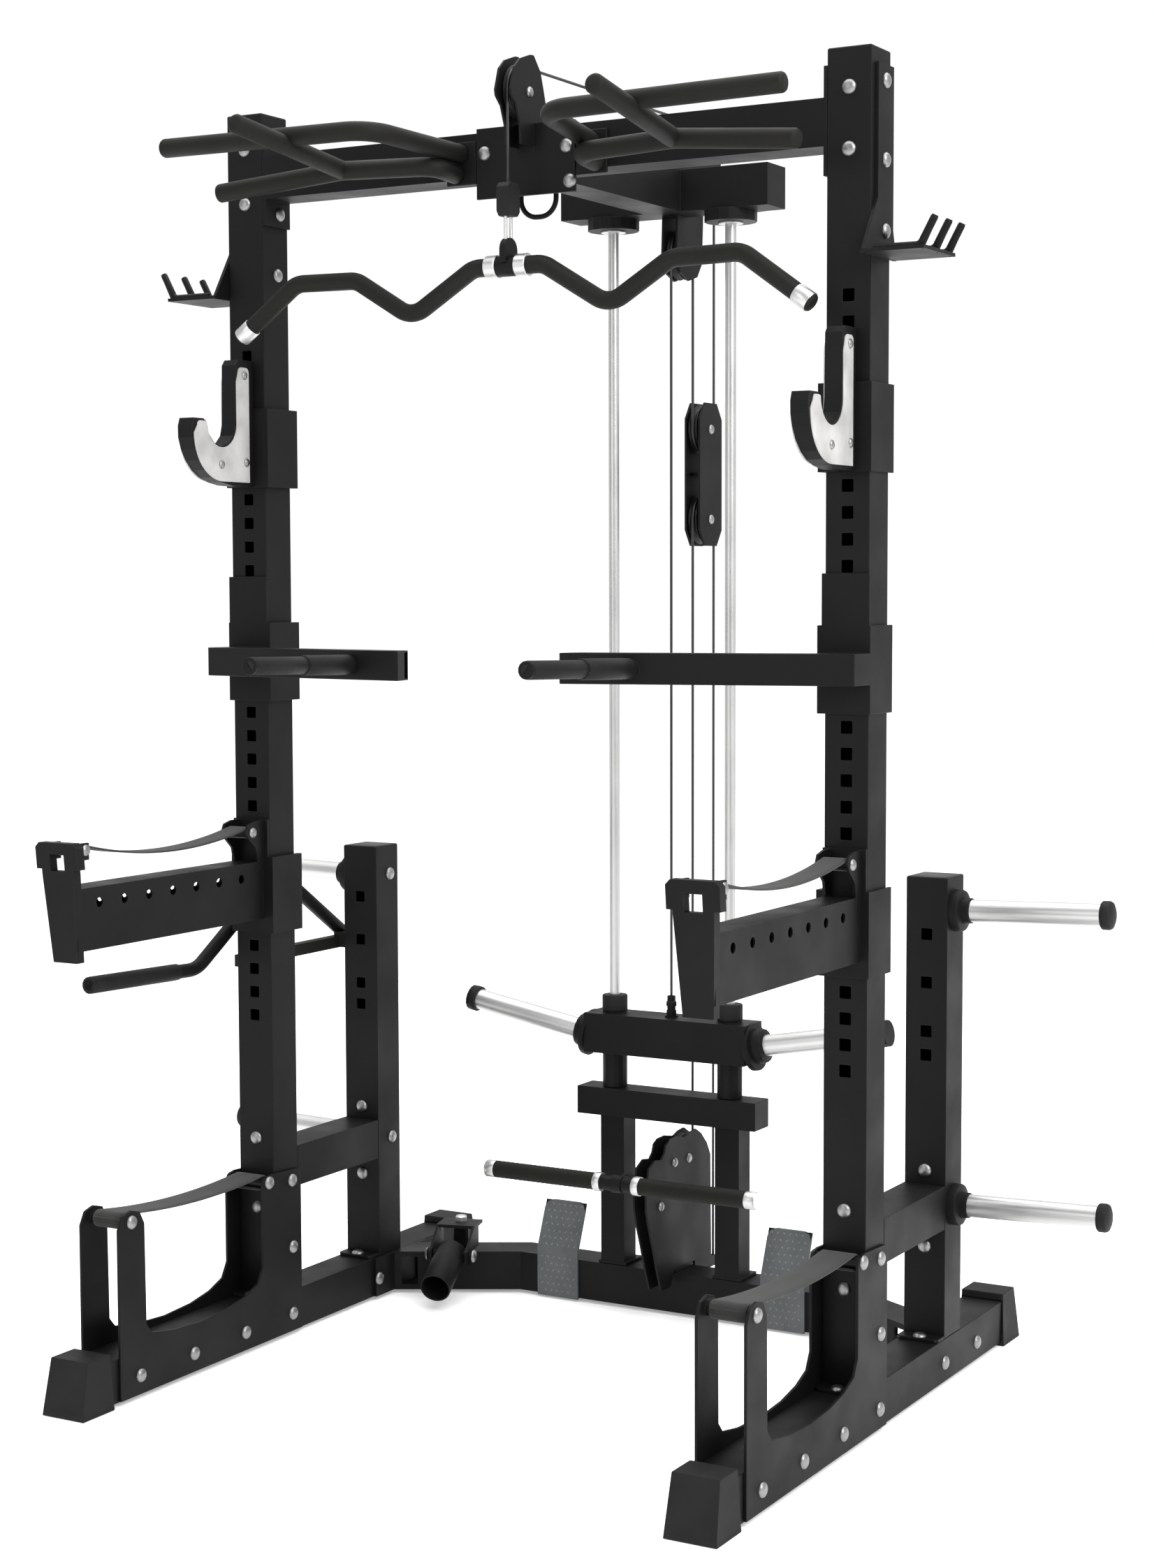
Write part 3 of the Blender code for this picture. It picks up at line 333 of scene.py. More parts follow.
def sweep_into(bm, path, radius, sides=20, soft=0.2):
    """A round bar along a path with slightly rounded ends; the section doesn't twist."""
    path = [Vector(p) for p in path]
    first, last = (path[1] - path[0]).normalized(), (path[-1] - path[-2]).normalized()
    ease = radius * soft
    path = [path[0], path[0] + first * ease * 0.35, path[0] + first * ease] + path[1:-1] + [
        path[-1] - last * ease, path[-1] - last * ease * 0.35, path[-1]]
    radii = [radius - ease, radius - ease * 0.35, radius] + [radius] * (len(path) - 6)
    radii += [radius, radius - ease * 0.35, radius - ease]
    across = first.orthogonal().normalized()
    before = first
    rings = []
    for i, point in enumerate(path):
        ahead = (path[min(i + 1, len(path) - 1)] - path[max(i - 1, 0)]).normalized()
        across = before.rotation_difference(ahead) @ across
        across = (across - ahead * across.dot(ahead)).normalized()
        up = ahead.cross(across)
        before = ahead
        angles = [2 * math.pi * k / sides for k in range(sides)]
        rings.append([point + (across * math.cos(a) + up * math.sin(a)) * radii[i] for a in angles])
    rings_into(bm, rings)


def swept(name, path, radius, body, material, sides=20, soft=0.2, **more):
    bm = bmesh.new()
    sweep_into(bm, path, radius, sides, soft)
    piece(name, mesh_of(bm), body, material, **more)


def prism_into(bm, outline, axis, low, high):
    """Extrudes an outline of (u, v) points along X (u is y, v is z), Y (x, z) or Z (x, y)."""
    def point(u, v, w):
        return {"X": (w, u, v), "Y": (u, w, v), "Z": (u, v, w)}[axis]

    rings_into(bm, [[Vector(point(u, v, w)) for u, v in outline] for w in (low, high)])


def soften(made, width):
    weld = made.modifiers.new("weld", "WELD")
    weld.merge_threshold = WELD_DISTANCE
    bevel = made.modifiers.new("soften", "BEVEL")
    bevel.width = width
    bevel.segments = 2
    bevel.limit_method = "ANGLE"
    bevel.angle_limit = BEVEL_ABOVE
    bevel.harden_normals = True


def circle(cx, cy, radius, first_deg, last_deg, steps):
    """Points of a flat arc; 0 degrees is along the first axis and 90 along the second."""
    angles = [math.radians(first_deg + (last_deg - first_deg) * i / steps) for i in range(steps + 1)]
    return [(cx + radius * math.cos(a), cy + radius * math.sin(a)) for a in angles]


def arc_points(middle, radius, first_deg, last_deg, steps=24):
    """Points of an arc in the plane x = 0 about a pulley's middle; 0 degrees is +Y and 90 is +Z."""
    return [Vector((0, y, z)) for y, z in circle(middle.y, middle.z, radius, first_deg, last_deg, steps)]


# ---------------------------------------------------------------- camera, lights and floor

FLOOR_REACH = 60
FLOOR_DROP = 0.0005


def camera():
    """The photograph's viewpoint: eye height, to the right of the machine, looking across it."""
    data = bpy.data.cameras.new("camera")
    made = bpy.data.objects.new("camera", data)
    bpy.context.scene.collection.objects.link(made)
    eye = place(2.2717, -3.8181, 1.3687)
    turn, down, roll = 0.5187, 0.0741, -0.0030
    ahead = Vector((-math.sin(turn) * math.cos(down), math.cos(turn) * math.cos(down), -math.sin(down)))
    level = Vector((math.cos(turn), math.sin(turn), 0))
    rise = level.cross(ahead)
    right = level * math.cos(roll) + rise * math.sin(roll)
    up = rise * math.cos(roll) - level * math.sin(roll)
    made.matrix_world = Matrix((right, up, -ahead)).transposed().to_4x4()
    made.matrix_world.translation = eye
    data.sensor_width = 36
    data.lens = 60.35
    data.clip_end = 60
    bpy.context.scene.camera = made


def light(name, where, target, size, watts):
    data = bpy.data.lights.new(name, "AREA")
    data.size = size
    data.energy = watts
    made = bpy.data.objects.new(name, data)
    bpy.context.scene.collection.objects.link(made)
    made.location = where
    made.rotation_euler = (Vector(target) - Vector(where)).to_track_quat("-Z", "Y").to_euler()


def studio():
    """A white world that dims toward the front, three soft lights and a pale floor."""
    world = bpy.data.worlds.new("studio")
    bpy.context.scene.world = world
    world.use_nodes = True
    tree = world.node_tree
    back = tree.nodes["Background"]
    back.inputs["Strength"].default_value = 1.0
    where = add(tree, "TexCoord")
    parts = add(tree, "SeparateXYZ")
    tree.links.new(where.outputs["Generated"], parts.inputs["Vector"])
    front_to_rear = remap(tree, parts.outputs["Y"], -0.75, 0.15, 0.0, 1.0)
    dim, bright = (0.60, 0.60, 0.605), (1.02, 1.02, 1.02)
    tree.links.new(between(tree, front_to_rear, dim, bright), back.inputs["Color"])
    bpy.context.scene.view_settings.view_transform = "Standard"
    light("key", (4.5, -2.0, 4.0), (0, 0, 1.0), size=3.0, watts=230)
    light("front", (-1.5, -5.5, 3.0), (0, 0, 1.0), size=3.0, watts=60)
    light("floor_wash", (0, 0.5, 6.0), (0, 0.5, 0), size=7.0, watts=420)
    material, tree, shader = shader_of("pale_floor", (0.93, 0.93, 0.93), 0.9, specular=0.1)
    shader.inputs["Emission Color"].default_value = (1, 1, 1, 1)
    shader.inputs["Emission Strength"].default_value = 0.30
    cloud = remap(tree, noise(tree, 1.2, 2.0), 0.3, 0.7, 0.0, 1.0)
    tint = between(tree, cloud, (0.95, 0.95, 0.95), (0.98, 0.98, 0.98))
    tree.links.new(tint, shader.inputs["Base Color"])
    bm = bmesh.new()
    bmesh.ops.create_grid(bm, x_segments=2, y_segments=2, size=FLOOR_REACH)
    floor = piece("floor", mesh_of(bm), None, material)
    floor.location.z = -FLOOR_DROP


# ---------------------------------------------------------------- fasteners

BOLT = [(0, -0.0004), (0.0128, -0.0004), (0.0126, 0.0014), (0.0110, 0.0036), (0.0080, 0.0054),
        (0.0040, 0.0065), (0, 0.0068)]
BOLT_SCALE = 0.95


def bolts(name, body, spots, scale=1.0):
    """Domed bolt heads: each spot is a point on a face and the way out of it."""
    bm = bmesh.new()
    for where, out in spots:
        turned_into(bm, [(r * scale * BOLT_SCALE, h * scale) for r, h in BOLT], where, out, 24)
    piece(name, mesh_of(bm), body, BOLT_STEEL)


def frame_bolts():
    """The bolts through the tubes, the base brackets, the flanges and the front pulley bracket."""
    bracket_holes = ((-0.389, 0.041), (-0.243, 0.041), (-0.0945, 0.041), (0.049, 0.041), (0.051, 0.165),
                     (0.050, 0.289), FRONT_ANCHOR, REAR_ANCHOR)
    spots = []
    for _, side in SIDES:
        x = side * SIDE_X
        spots += [(place(x, 0, z), (0, -1, 0)) for z in (2.146, 2.051, 0.373, 0.245)]
        spots += [(place(x, POST_Y, z), (0, -1, 0)) for z in (0.372, 0.241)]
        out, inward = (side, 0, 0), (-side, 0, 0)
        inner_face = side * (SIDE_X - HALF)
        hook_plate = side * (OUTER_X + PLATE_FACE)
        spots += [(place(hook_plate, UPRIGHT_BOLT_Y, z), out) for z in (2.158, 2.036, 1.926)]
        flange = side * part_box("crossbeam")[1].x - side * 0.006
        spots += [(place(flange, UPRIGHT_BOLT_Y, z), inward) for z in (2.157, 2.035)]
        spots.append((place(inner_face, UPRIGHT_BOLT_Y, 1.928), inward))
        face = side * (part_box("base_bracket_right")[1].x)
        near = side * (SIDE_X - (abs(face) - SIDE_X))
        for y, z in bracket_holes:
            spots += [(place(face, y, z), out), (place(near, y, z), inward)]
        spots += [(place(side * OUTER_X, y, z), out) for y, z in ((0.344, 0.040), (0.495, 0.038))]
        spots += [(place(inner_face, 0.387, z), inward) for z in (0.822, 0.308)]
        spots.append((place(side * 0.5392, 0.330, 0.041), inward))
        spots.append((place(x, 0.322, 0.0870), (0, 0, 1)))
        spots.append((place(x, -0.022, 0.0870), (0, 0, 1)))
    bolts("frame_bolts", "frame", spots)
    holes = ((-0.079, 2.0975), (0.079, 2.0975), (0.085, 2.040))
    bolts("bracket_bolts", "frame", [(place(x, -PLATE_FACE, z), (0, -1, 0)) for x, z in holes])


# ---------------------------------------------------------------- finishing the CAD nodes

SOFTENED = {
    "upright": 0.0015, "rear_post": 0.0015, "foot_tube": 0.0015, "side_link": 0.0015, "base_bracket": 0.0012,
    "rubber_foot": 0.0040, "storage_hook": 0.0010, "crossbeam": 0.0015, "front_pulley_bracket": 0.0008,
    "rear_top_frame": 0.0015, "rear_pulley_bracket": 0.0008, "base_beam": 0.0015, "mast": 0.0015,
    "low_pulley_bracket": 0.0008, "landmine_yoke": 0.0010, "carriage": 0.0012, "floating_block": 0.0008,
    "j_hook": 0.0015, "dip_arm": 0.0015, "spotter_arm": 0.0015, "side_handle": 0.0015,
}


def finish_nodes():
    """Each CAD node takes its slot's material, and the shown ones get small rounded edges."""
    slot_of = {row["node"]: row["material_slot"] for row in frame["record"]["subparts"]}
    for name, made in nodes.items():
        for slot in made.material_slots:
            slot.material = FINISH_OF_SLOT[slot_of[name]]
        for start, width in SOFTENED.items():
            if name.startswith(start):
                soften(made, width)


# ---------------------------------------------------------------- bars, pegs, rods

PULLUP_R = 0.016
PEG_R = 0.0195
PEG_AXIS_HEIGHT = 0.036
CAP_LENGTH = 0.020
FLANGE_LENGTH = 0.030


def pullup_grips(word, side):
    """The wide, front and forward bars of one side, on their plate."""
    def at(x, y, z):
        return place(side * x, y, z)

    bm = bmesh.new()
    wide = rounded([at(0.125, -0.003, 2.100), at(0.163, -0.228, 2.112), at(0.582, -0.230, 2.116)], 0.055)
    front = rounded([at(0.135, -0.003, 2.066), at(0.138, -0.072, 2.072), at(0.318, -0.080, 2.078),
                     at(0.552, -0.119, 2.052)], 0.030)
    forward = [at(0.316, -0.070, 2.077), at(0.331, -0.365, 2.117)]
    for path in (wide, front, forward):
        sweep_into(bm, path, PULLUP_R, 24, 0.35)
    piece("pullup_bars_" + word, mesh_of(bm), "frame", GRIP, "grip_paint", ["pullup_grips_" + word])
    bm = bmesh.new()
    inner, outer = side * 0.0965, side * 0.155
    outline = [(inner, 2.048), (outer, 2.048), (outer, 2.120), (inner, 2.120)]
    prism_into(bm, outline, "Y", place(0, -PLATE_FACE, 0).y, place(0, -GAP, 0).y)
    soften(piece("pullup_plate_" + word, mesh_of(bm), "frame", PAINT, "black_paint"), 0.002)


def storage_pegs(word, side):
    """The two plate pegs of one side: a welded flange, a plated sleeve and an end cap."""
    for level in ("upper", "lower"):
        node = f"storage_peg_{level}_{word}"
        low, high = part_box(node)
        root_x = side * (OUTER_X + GAP)
        tip_x = high.x if side > 0 else low.x
        y = (low.y + high.y) / 2
        z = low.z + PEG_AXIS_HEIGHT
        rise = math.tan(math.radians(1.5))
        along = Vector((side, 0, rise)).normalized()
        start = Vector((root_x, y, z))
        reach = abs(tip_x - root_x) / along.x * side
        turned("peg_flange_" + level + "_" + word,
               [(0, 0), (0.0358, 0), (0.0358, 0.012), (0.0345, 0.0150), (0.0230, 0.0170), (0.0215, 0.0300),
                (0.0200, 0.0310), (0, 0.0310)], start, along, "frame", PAINT)
        turned("peg_sleeve_" + level + "_" + word,
               [(0, FLANGE_LENGTH), (PEG_R, FLANGE_LENGTH), (PEG_R, reach - CAP_LENGTH),
                (0, reach - CAP_LENGTH)],
               start, along, "frame", CHROME_X, 40, slot="chrome", stands_for=[node])
        turned("peg_cap_" + level + "_" + word,
               [(0, reach - CAP_LENGTH), (0.0235, reach - CAP_LENGTH), (0.0243, reach - 0.0185),
                (0.0243, reach - 0.008), (0.0225, reach - 0.0045), (0.0165, reach - 0.0018),
                (0.0085, reach - 0.0004), (0, reach)],
               start, along, "frame", RUBBER)


def guide_rods(word):
    """One guide rod, and the washer under the beam that holds its top."""
    node = "guide_rod_" + word
    low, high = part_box(node)
    middle = centre(node)
    length, washer = high.z - low.z, 0.0032
    turned("rod_" + word, [(0, 0), (0.0092, 0), (0.0100, 0.0008), (0.0100, length), (0, length)],
           (middle.x, middle.y, low.z), (0, 0, 1), "frame", CHROME_Z, 32, slot="chrome", stands_for=[node])
    turned("rod_washer_" + word,
           [(0.0106, 0), (0.0225, 0), (0.0230, 0.0006), (0.0230, 0.0026), (0.0225, washer),
            (0.0106, washer), (0.0106, 0)],
           (middle.x, middle.y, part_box("rear_top_frame")[0].z - washer), (0, 0, 1), "frame", CHROME_Z)


def carriage_fittings():
    """Rod bearings, loading pegs and the cable's stud on the carriage."""
    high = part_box("carriage")[1]
    rod_y = centre("guide_rod_right").y
    rise = math.tan(math.radians(10))
    for word, side in SIDES:
        rod_x = centre("guide_rod_" + word).x
        top = high.z - 0.0070
        turned("bearing_" + word,
               [(0.0107, 0), (0.0230, 0), (0.0242, 0.0012), (0.0242, 0.028), (0.0228, 0.030),
                (0.0107, 0.030), (0.0107, 0)],
               (rod_x, rod_y, top - 0.0295), (0, 0, 1), "carriage", RUBBER)
        along = Vector((side, 0, rise)).normalized()
        start = Vector((side * 0.168, rod_y, 0.5235))
        turned("loading_flange_" + word,
               [(0, 0.0002), (0.0445, 0.0002), (0.0445, 0.0085), (0.0435, 0.0105), (0.0322, 0.0110),
                (0.0318, 0.0240), (0.0300, 0.0270), (0.0240, 0.0300), (0.0205, 0.0310), (0, 0.0310)],
               start, along, "carriage", PAINT, 48)
        turned("loading_sleeve_" + word,
               [(0, FLANGE_LENGTH), (0.0198, FLANGE_LENGTH), (0.0198, 0.262), (0, 0.262)],
               start, along, "carriage", CHROME_X, 40, slot="chrome")
        turned("loading_cap_" + word,
               [(0, 0.2590), (0.0238, 0.2590), (0.0246, 0.2602), (0.0246, 0.2690), (0.0230, 0.2722),
                (0.0170, 0.2750), (0.0085, 0.2764), (0, 0.2768)],
               start, along, "carriage", RUBBER)
    lift_y = centre("middle_pulley").y - PULLEY_R
    stud = Vector((0, lift_y, high.z - 0.040))
    turned("lift_stud",
           [(0, 0), (0.0140, 0), (0.0140, 0.003), (0.0105, 0.003), (0.0105, 0.012), (0.0085, 0.013),
            (0.0085, 0.020), (0.0110, 0.021), (0.0110, 0.028), (0.0070, 0.031), (0.0070, 0.0398),
            (0, 0.0398)],
           stud, (0, 0, 1), "carriage", PAINT, 6)


def lat_bar():
    """The bent bar with its collars and end sleeves, its tab and the cable's stop."""
    y = FRONT_Y - 0.0615
    end_x, end_z, first_bend, middle_z = 0.550, 1.808, (0.428, 1.896), 1.900
    half = [(end_x, end_z), first_bend, (0.303, 1.894), (0.190, 1.826), (0.067, middle_z)]
    points = [Vector((x, y, z)) for x, z in half]
    points += [Vector((-p.x, y, p.z)) for p in points[::-1]]
    path = rounded(points, 0.045)
    swept("lat_bar_tube", path, 0.0150, "lat_bar", GRIP, 24, slot="grip_paint", stands_for=["lat_bar"])
    for word, side in SIDES:
        end = Vector((side * end_x, y, end_z))
        along = (Vector((side * first_bend[0], y, first_bend[1])) - end).normalized()
        turned("lat_end_sleeve_" + word,
               [(0, 0.004), (0.0158, 0.004), (0.0163, 0.005), (0.0163, 0.032), (0.0158, 0.033), (0, 0.033)],
               end, along, "lat_bar", CHROME_X)
        collar = Vector((side * 0.029, y, middle_z))
        turned("lat_collar_" + word,
               [(0, -0.011), (0.0180, -0.011), (0.0192, -0.0095), (0.0192, 0.0095), (0.0180, 0.011),
                (0, 0.011)],
               collar, (1, 0, 0), "lat_bar", CHROME_X)
    turned("lat_sleeve",
           [(0, -0.020), (0.0165, -0.020), (0.0170, -0.019), (0.0170, 0.019), (0.0165, 0.020), (0, 0.020)],
           (0, y, middle_z), (1, 0, 0), "lat_bar", PAINT)
    bm = bmesh.new()
    tab_r, tab_half = 0.020, 0.006
    outline = [(y - tab_r, 1.905), (y + tab_r, 1.905)] + circle(y, 1.926, tab_r, 0, 180, 14)
    prism_into(bm, outline, "X", -tab_half, tab_half)
    soften(piece("lat_tab", mesh_of(bm), "lat_bar", PAINT), 0.001)
    snap_link("lat_snap_link", Vector((0, y, 1.9635)), Vector((0, 0, 1)), Vector((0, 1, 0)), "lat_bar")
    bm = bmesh.new()
    low, high = 1.9805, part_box("lat_bar")[1].z - GAP
    narrow, wide, taper = 0.012, 0.019, 0.008
    outline = [(y - narrow, low), (y + narrow, low), (y + wide, low + taper), (y + wide, high - taper),
               (y + narrow, high), (y - narrow, high), (y - wide, high - taper), (y - wide, low + taper)]
    prism_into(bm, outline, "X", -narrow, narrow)
    soften(piece("lat_cable_stop", mesh_of(bm), "lat_bar", RUBBER), 0.002)


def snap_link(name, middle, long_way, wide_way, body):
    """A small bright oval snap link."""
    bm = bmesh.new()
    steps, turn_r, straight, wire_r = 24, 0.0085, 0.016, 0.0030
    path = []
    for i in range(steps):
        a = 2 * math.pi * i / steps
        stretch = straight if math.sin(a) > 0 else -straight
        path.append(middle + wide_way * turn_r * math.cos(a) + long_way * (turn_r * math.sin(a) + stretch))
    rings = []
    side_way = long_way.cross(wide_way)
    for i, point in enumerate(path):
        ahead = (path[(i + 1) % steps] - path[i - 1]).normalized()
        up = ahead.cross(side_way)
        rings.append([point + (side_way * math.cos(t) + up * math.sin(t)) * wire_r
                      for t in (2 * math.pi * k / 10 for k in range(10))])
    rings_into(bm, rings, loop=True)
    piece(name, mesh_of(bm), body, ZINC)


def row_bar():
    """The straight bar with two ribbed grips, its eye and the cable's stop."""
    low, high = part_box("row_bar")
    end_r, grip_r, rib, grip_start = 0.016, 0.0155, 0.0005, 0.047
    y, z = low.y + end_r, (low.z + high.z) / 2
    middle = (0, y, z)
    end = high.x
    cap_start, tip = end - CAP_LENGTH, end - 0.004
    turned("row_bar_tube",
           [(0, -tip), (0.0125, -tip), (0.0135, 0.001 - tip), (0.0135, tip - 0.001), (0.0125, tip),
            (0, tip)],
           middle, (1, 0, 0), "row_bar", PAINT, slot="grip_paint", stands_for=["row_bar"])
    for word, side in SIDES:
        way = (side, 0, 0)
        ribs = [(grip_r, grip_start)]
        steps = 44
        for i in range(steps + 1):
            ribs.append((grip_r + (rib if i % 2 else 0), grip_start + (cap_start - grip_start) * i / steps))
        turned("row_grip_" + word, [(0, grip_start)] + ribs + [(0, cap_start)],
               middle, way, "row_bar", GRIP, 28)
        turned("row_end_cap_" + word,
               [(0, cap_start), (0.0157, cap_start), (end_r, end - 0.019), (end_r, end - 0.002),
                (0.0145, end), (0, end)],
               middle, way, "row_bar", CHROME_X)
        turned("row_collar_" + word,
               [(0, 0.033), (0.0168, 0.033), (0.0175, 0.0345), (0.0175, 0.0455), (0.0168, grip_start),
                (0, grip_start)],
               middle, way, "row_bar", CHROME_X)
    bm = bmesh.new()
    eye = circle(y, z, 0.0165, 60, 300, 16)
    outline = eye + [(y + 0.030, z - 0.0075), (y + 0.034, z - 0.004), (y + 0.034, z + 0.004),
                     (y + 0.030, z + 0.0075)]
    prism_into(bm, outline, "X", -0.011, 0.011)
    soften(piece("row_eye", mesh_of(bm), "row_bar", PAINT), 0.0015)
    reach = high.y - y
    turned("row_cable_stop",
           [(0, 0.030), (0.0060, 0.030), (0.0115, 0.032), (0.0130, 0.035), (0.0130, reach - 0.002),
            (0.0110, reach), (0, reach)],
           middle, (0, 1, 0), "row_bar", RUBBER)


def side_handle():
    """The bent handle on the left side, with its rubber grip."""
    x = -0.652
    path = rounded([place(x, -0.360, 0.697), place(x, -0.080, 0.688), place(x, 0.165, 0.842),
                    place(x, 0.372, 0.708)], 0.070, 10)
    swept("side_handle_tube", path, 0.0127, "frame", PAINT, 24, 0.2)
    grip = [place(x, -0.375, 0.6975), place(x, -0.138, 0.6900)]
    swept("side_handle_grip", grip, 0.0150, "frame", RUBBER, 24, 0.3)


# ---------------------------------------------------------------- pulleys and cables

FIXED_PULLEYS = ("front_pulley", "top_pulley", "middle_pulley", "low_pulley")
BLOCK_PULLEYS = ("block_upper_pulley", "block_lower_pulley")
PULLEY_R = 0.0435
LOW_TURN = -101.66
CABLE_R = 0.0025
CABLE_STEP = 0.020


def pulleys():
    """Nylon pulleys with a rounded groove, a dished web and a steel bearing."""
    groove = [(0.0465 - 0.0062 * math.sin(math.pi * i / 10), 0.0068 - 0.00136 * i) for i in range(11)]
    face = [(0.0105, 0.0080), (0.0160, 0.0080), (0.0180, 0.0055), (0.0330, 0.0055), (0.0350, 0.0080),
            (0.0455, 0.0080)]
    wheel = face + groove + [(radius, -height) for radius, height in face[::-1]] + face[:1]
    bearing = [(0.0064, 0.0083), (0.0105, 0.0083), (0.0105, -0.0083), (0.0064, -0.0083), (0.0064, 0.0083)]
    for node in FIXED_PULLEYS + BLOCK_PULLEYS:
        middle = centre(node)
        turned(node + "_wheel", wheel, middle, (1, 0, 0), node, NYLON, 48, slot="nylon",
               stands_for=[node])
        turned(node + "_bearing", bearing, middle, (1, 0, 0), node, ZINC, 24)


def cable(name, path, node, crossing=None):
    """A cable as one smooth tube; with a crossing (body_a, body_b, start, end) it rides on no body, and the
    tuple's bodies and points are not read.
    """
    dense = []
    for first, second in zip(path, path[1:]):
        count = max(1, round((second - first).length / CABLE_STEP))
        dense += [first.lerp(second, i / count) for i in range(count)]
    dense.append(path[-1])
    bm = bmesh.new()
    sweep_into(bm, dense, CABLE_R, 10, 0.1)
    made = piece(name, mesh_of(bm), None if crossing else "frame", WIRE, "cable", [node])
    if crossing:
        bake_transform(made)


def cables():
    """The lat cable's four parts and the row cable's two, each along its pulleys' grooves."""
    front, top, mid, low = (centre(name) for name in FIXED_PULLEYS)
    high, under = (centre(name) for name in BLOCK_PULLEYS)
    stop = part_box("lat_bar")[1].z
    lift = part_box("carriage")[1].z
    lat_y = front.y - PULLEY_R
    rear_y, near_y, lift_y = top.y + PULLEY_R, mid.y + PULLEY_R, mid.y - PULLEY_R
    cable("cable_drop", [Vector((0, lat_y, stop - 0.004)), Vector((0, lat_y, front.z))], "lat_cable_drop",
          ("lat_bar", "frame", (0, lat_y, stop), (0, lat_y, front.z)))
    cable("cable_top", arc_points(front, PULLEY_R, 180, 90) + arc_points(top, PULLEY_R, 90, 0),
          "lat_cable_top")
    cable("cable_loop", [Vector((0, rear_y, top.z))] + arc_points(high, PULLEY_R, 0, -180, 36)
          + [Vector((0, near_y, mid.z))], "lat_cable_loop",
          ("block", "frame", (0, high.y, high.z), (0, high.y, mid.z - 0.05)))
    cable("cable_lift", arc_points(mid, PULLEY_R, 0, 180, 36) + [Vector((0, lift_y, lift - 0.004))],
          "lat_cable_carriage", ("carriage", "frame", (0, lift_y, lift), (0, lift_y, mid.z)))
    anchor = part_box("row_cable_loop")[0].z
    cable("row_loop", [Vector((0, rear_y, anchor - 0.006))] + arc_points(under, PULLEY_R, 0, 180, 36)
          + [Vector((0, near_y, low.z))], "row_cable_loop",
          ("block", "frame", (0, under.y, under.z), (0, under.y, low.z)))
    exit_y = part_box("row_bar")[1].y
    row_z = centre("row_bar").z
    run = arc_points(low, PULLEY_R, 0, LOW_TURN) + [Vector((0, exit_y - 0.002, row_z))]
    cable("row_run", run, "row_cable_low",
          ("frame", "row_bar", (0, low.y - 0.02, low.z), (0, exit_y, row_z)))


# ---------------------------------------------------------------- straps

BAND_SECTION = ((-1, -0.4), (-0.94, -1), (-0.5, -1), (0, -1), (0.5, -1), (0.94, -1), (1, -0.4), (1, 0.4),
                (0.94, 1), (0.5, 1), (0, 1), (-0.5, 1), (-0.94, 1), (-1, 0.4))


def band_into(bm, path, half_width, thickness, x):
    """A flat band that follows (y, z) points at x, with softly rounded edges."""
    points = [Vector((0, y, z)) for y, z in path]
    rings = []
    for i, point in enumerate(points):
        ahead = (points[min(i + 1, len(points) - 1)] - points[max(i - 1, 0)]).normalized()
        up = Vector((1, 0, 0)).cross(ahead)
        rings.append([Vector((x + u * half_width, 0, 0)) + point + up * v * thickness / 2
                      for u, v in BAND_SECTION])
    rings_into(bm, rings)


def strap(name, node, body, x, start, stop, sag, half_width, rod_radius):
    """A sagging webbing band that wraps round a bar at each end."""
    steps, thickness = 26, 0.0034
    run = []
    for i in range(steps + 1):
        t = i / steps
        y = start[0] + (stop[0] - start[0]) * t
        z = start[1] + (stop[1] - start[1]) * t - 4 * sag * t * (1 - t)
        run.append((y, z))
    loop = rod_radius + thickness * 0.55
    bm = bmesh.new()
    front = [(start[0] + loop * math.cos(a), start[1] - loop + loop * math.sin(a))
             for a in (math.radians(90 + 20 * k) for k in range(13))]
    rear = [(stop[0] + loop * math.cos(a), stop[1] - loop + loop * math.sin(a))
            for a in (math.radians(-130 + 20 * k) for k in range(12))]
    path = front[::-1] + run[1:-1] + rear[::-1]
    path = [(FRONT_Y + y, z) for y, z in path]
    band_into(bm, path, half_width, thickness, x)
    piece(name, mesh_of(bm), body, WEBBING, "webbing", [node])


def straps(word, side):
    """The base bracket's strap and the spotter arm's strap of one side."""
    x = side * SIDE_X
    strap("base_strap_" + word, "low_strap_" + word, "frame", x,
          (FRONT_ANCHOR[0], FRONT_ANCHOR[1] + 0.0130), (REAR_ANCHOR[0], REAR_ANCHOR[1] + 0.0110),
          sag=0.012, half_width=0.0300, rod_radius=0.0110)
    strap("catch_strap_" + word, "spotter_strap_" + word, "spotter_" + word, x,
          (SPOTTER_TIP[0], SPOTTER_TIP[1] + 0.0089), (SPOTTER_ROOT[0], SPOTTER_ROOT[1] + 0.0089),
          sag=0.026, half_width=0.0228, rod_radius=0.0070)


# ---------------------------------------------------------------- attachments

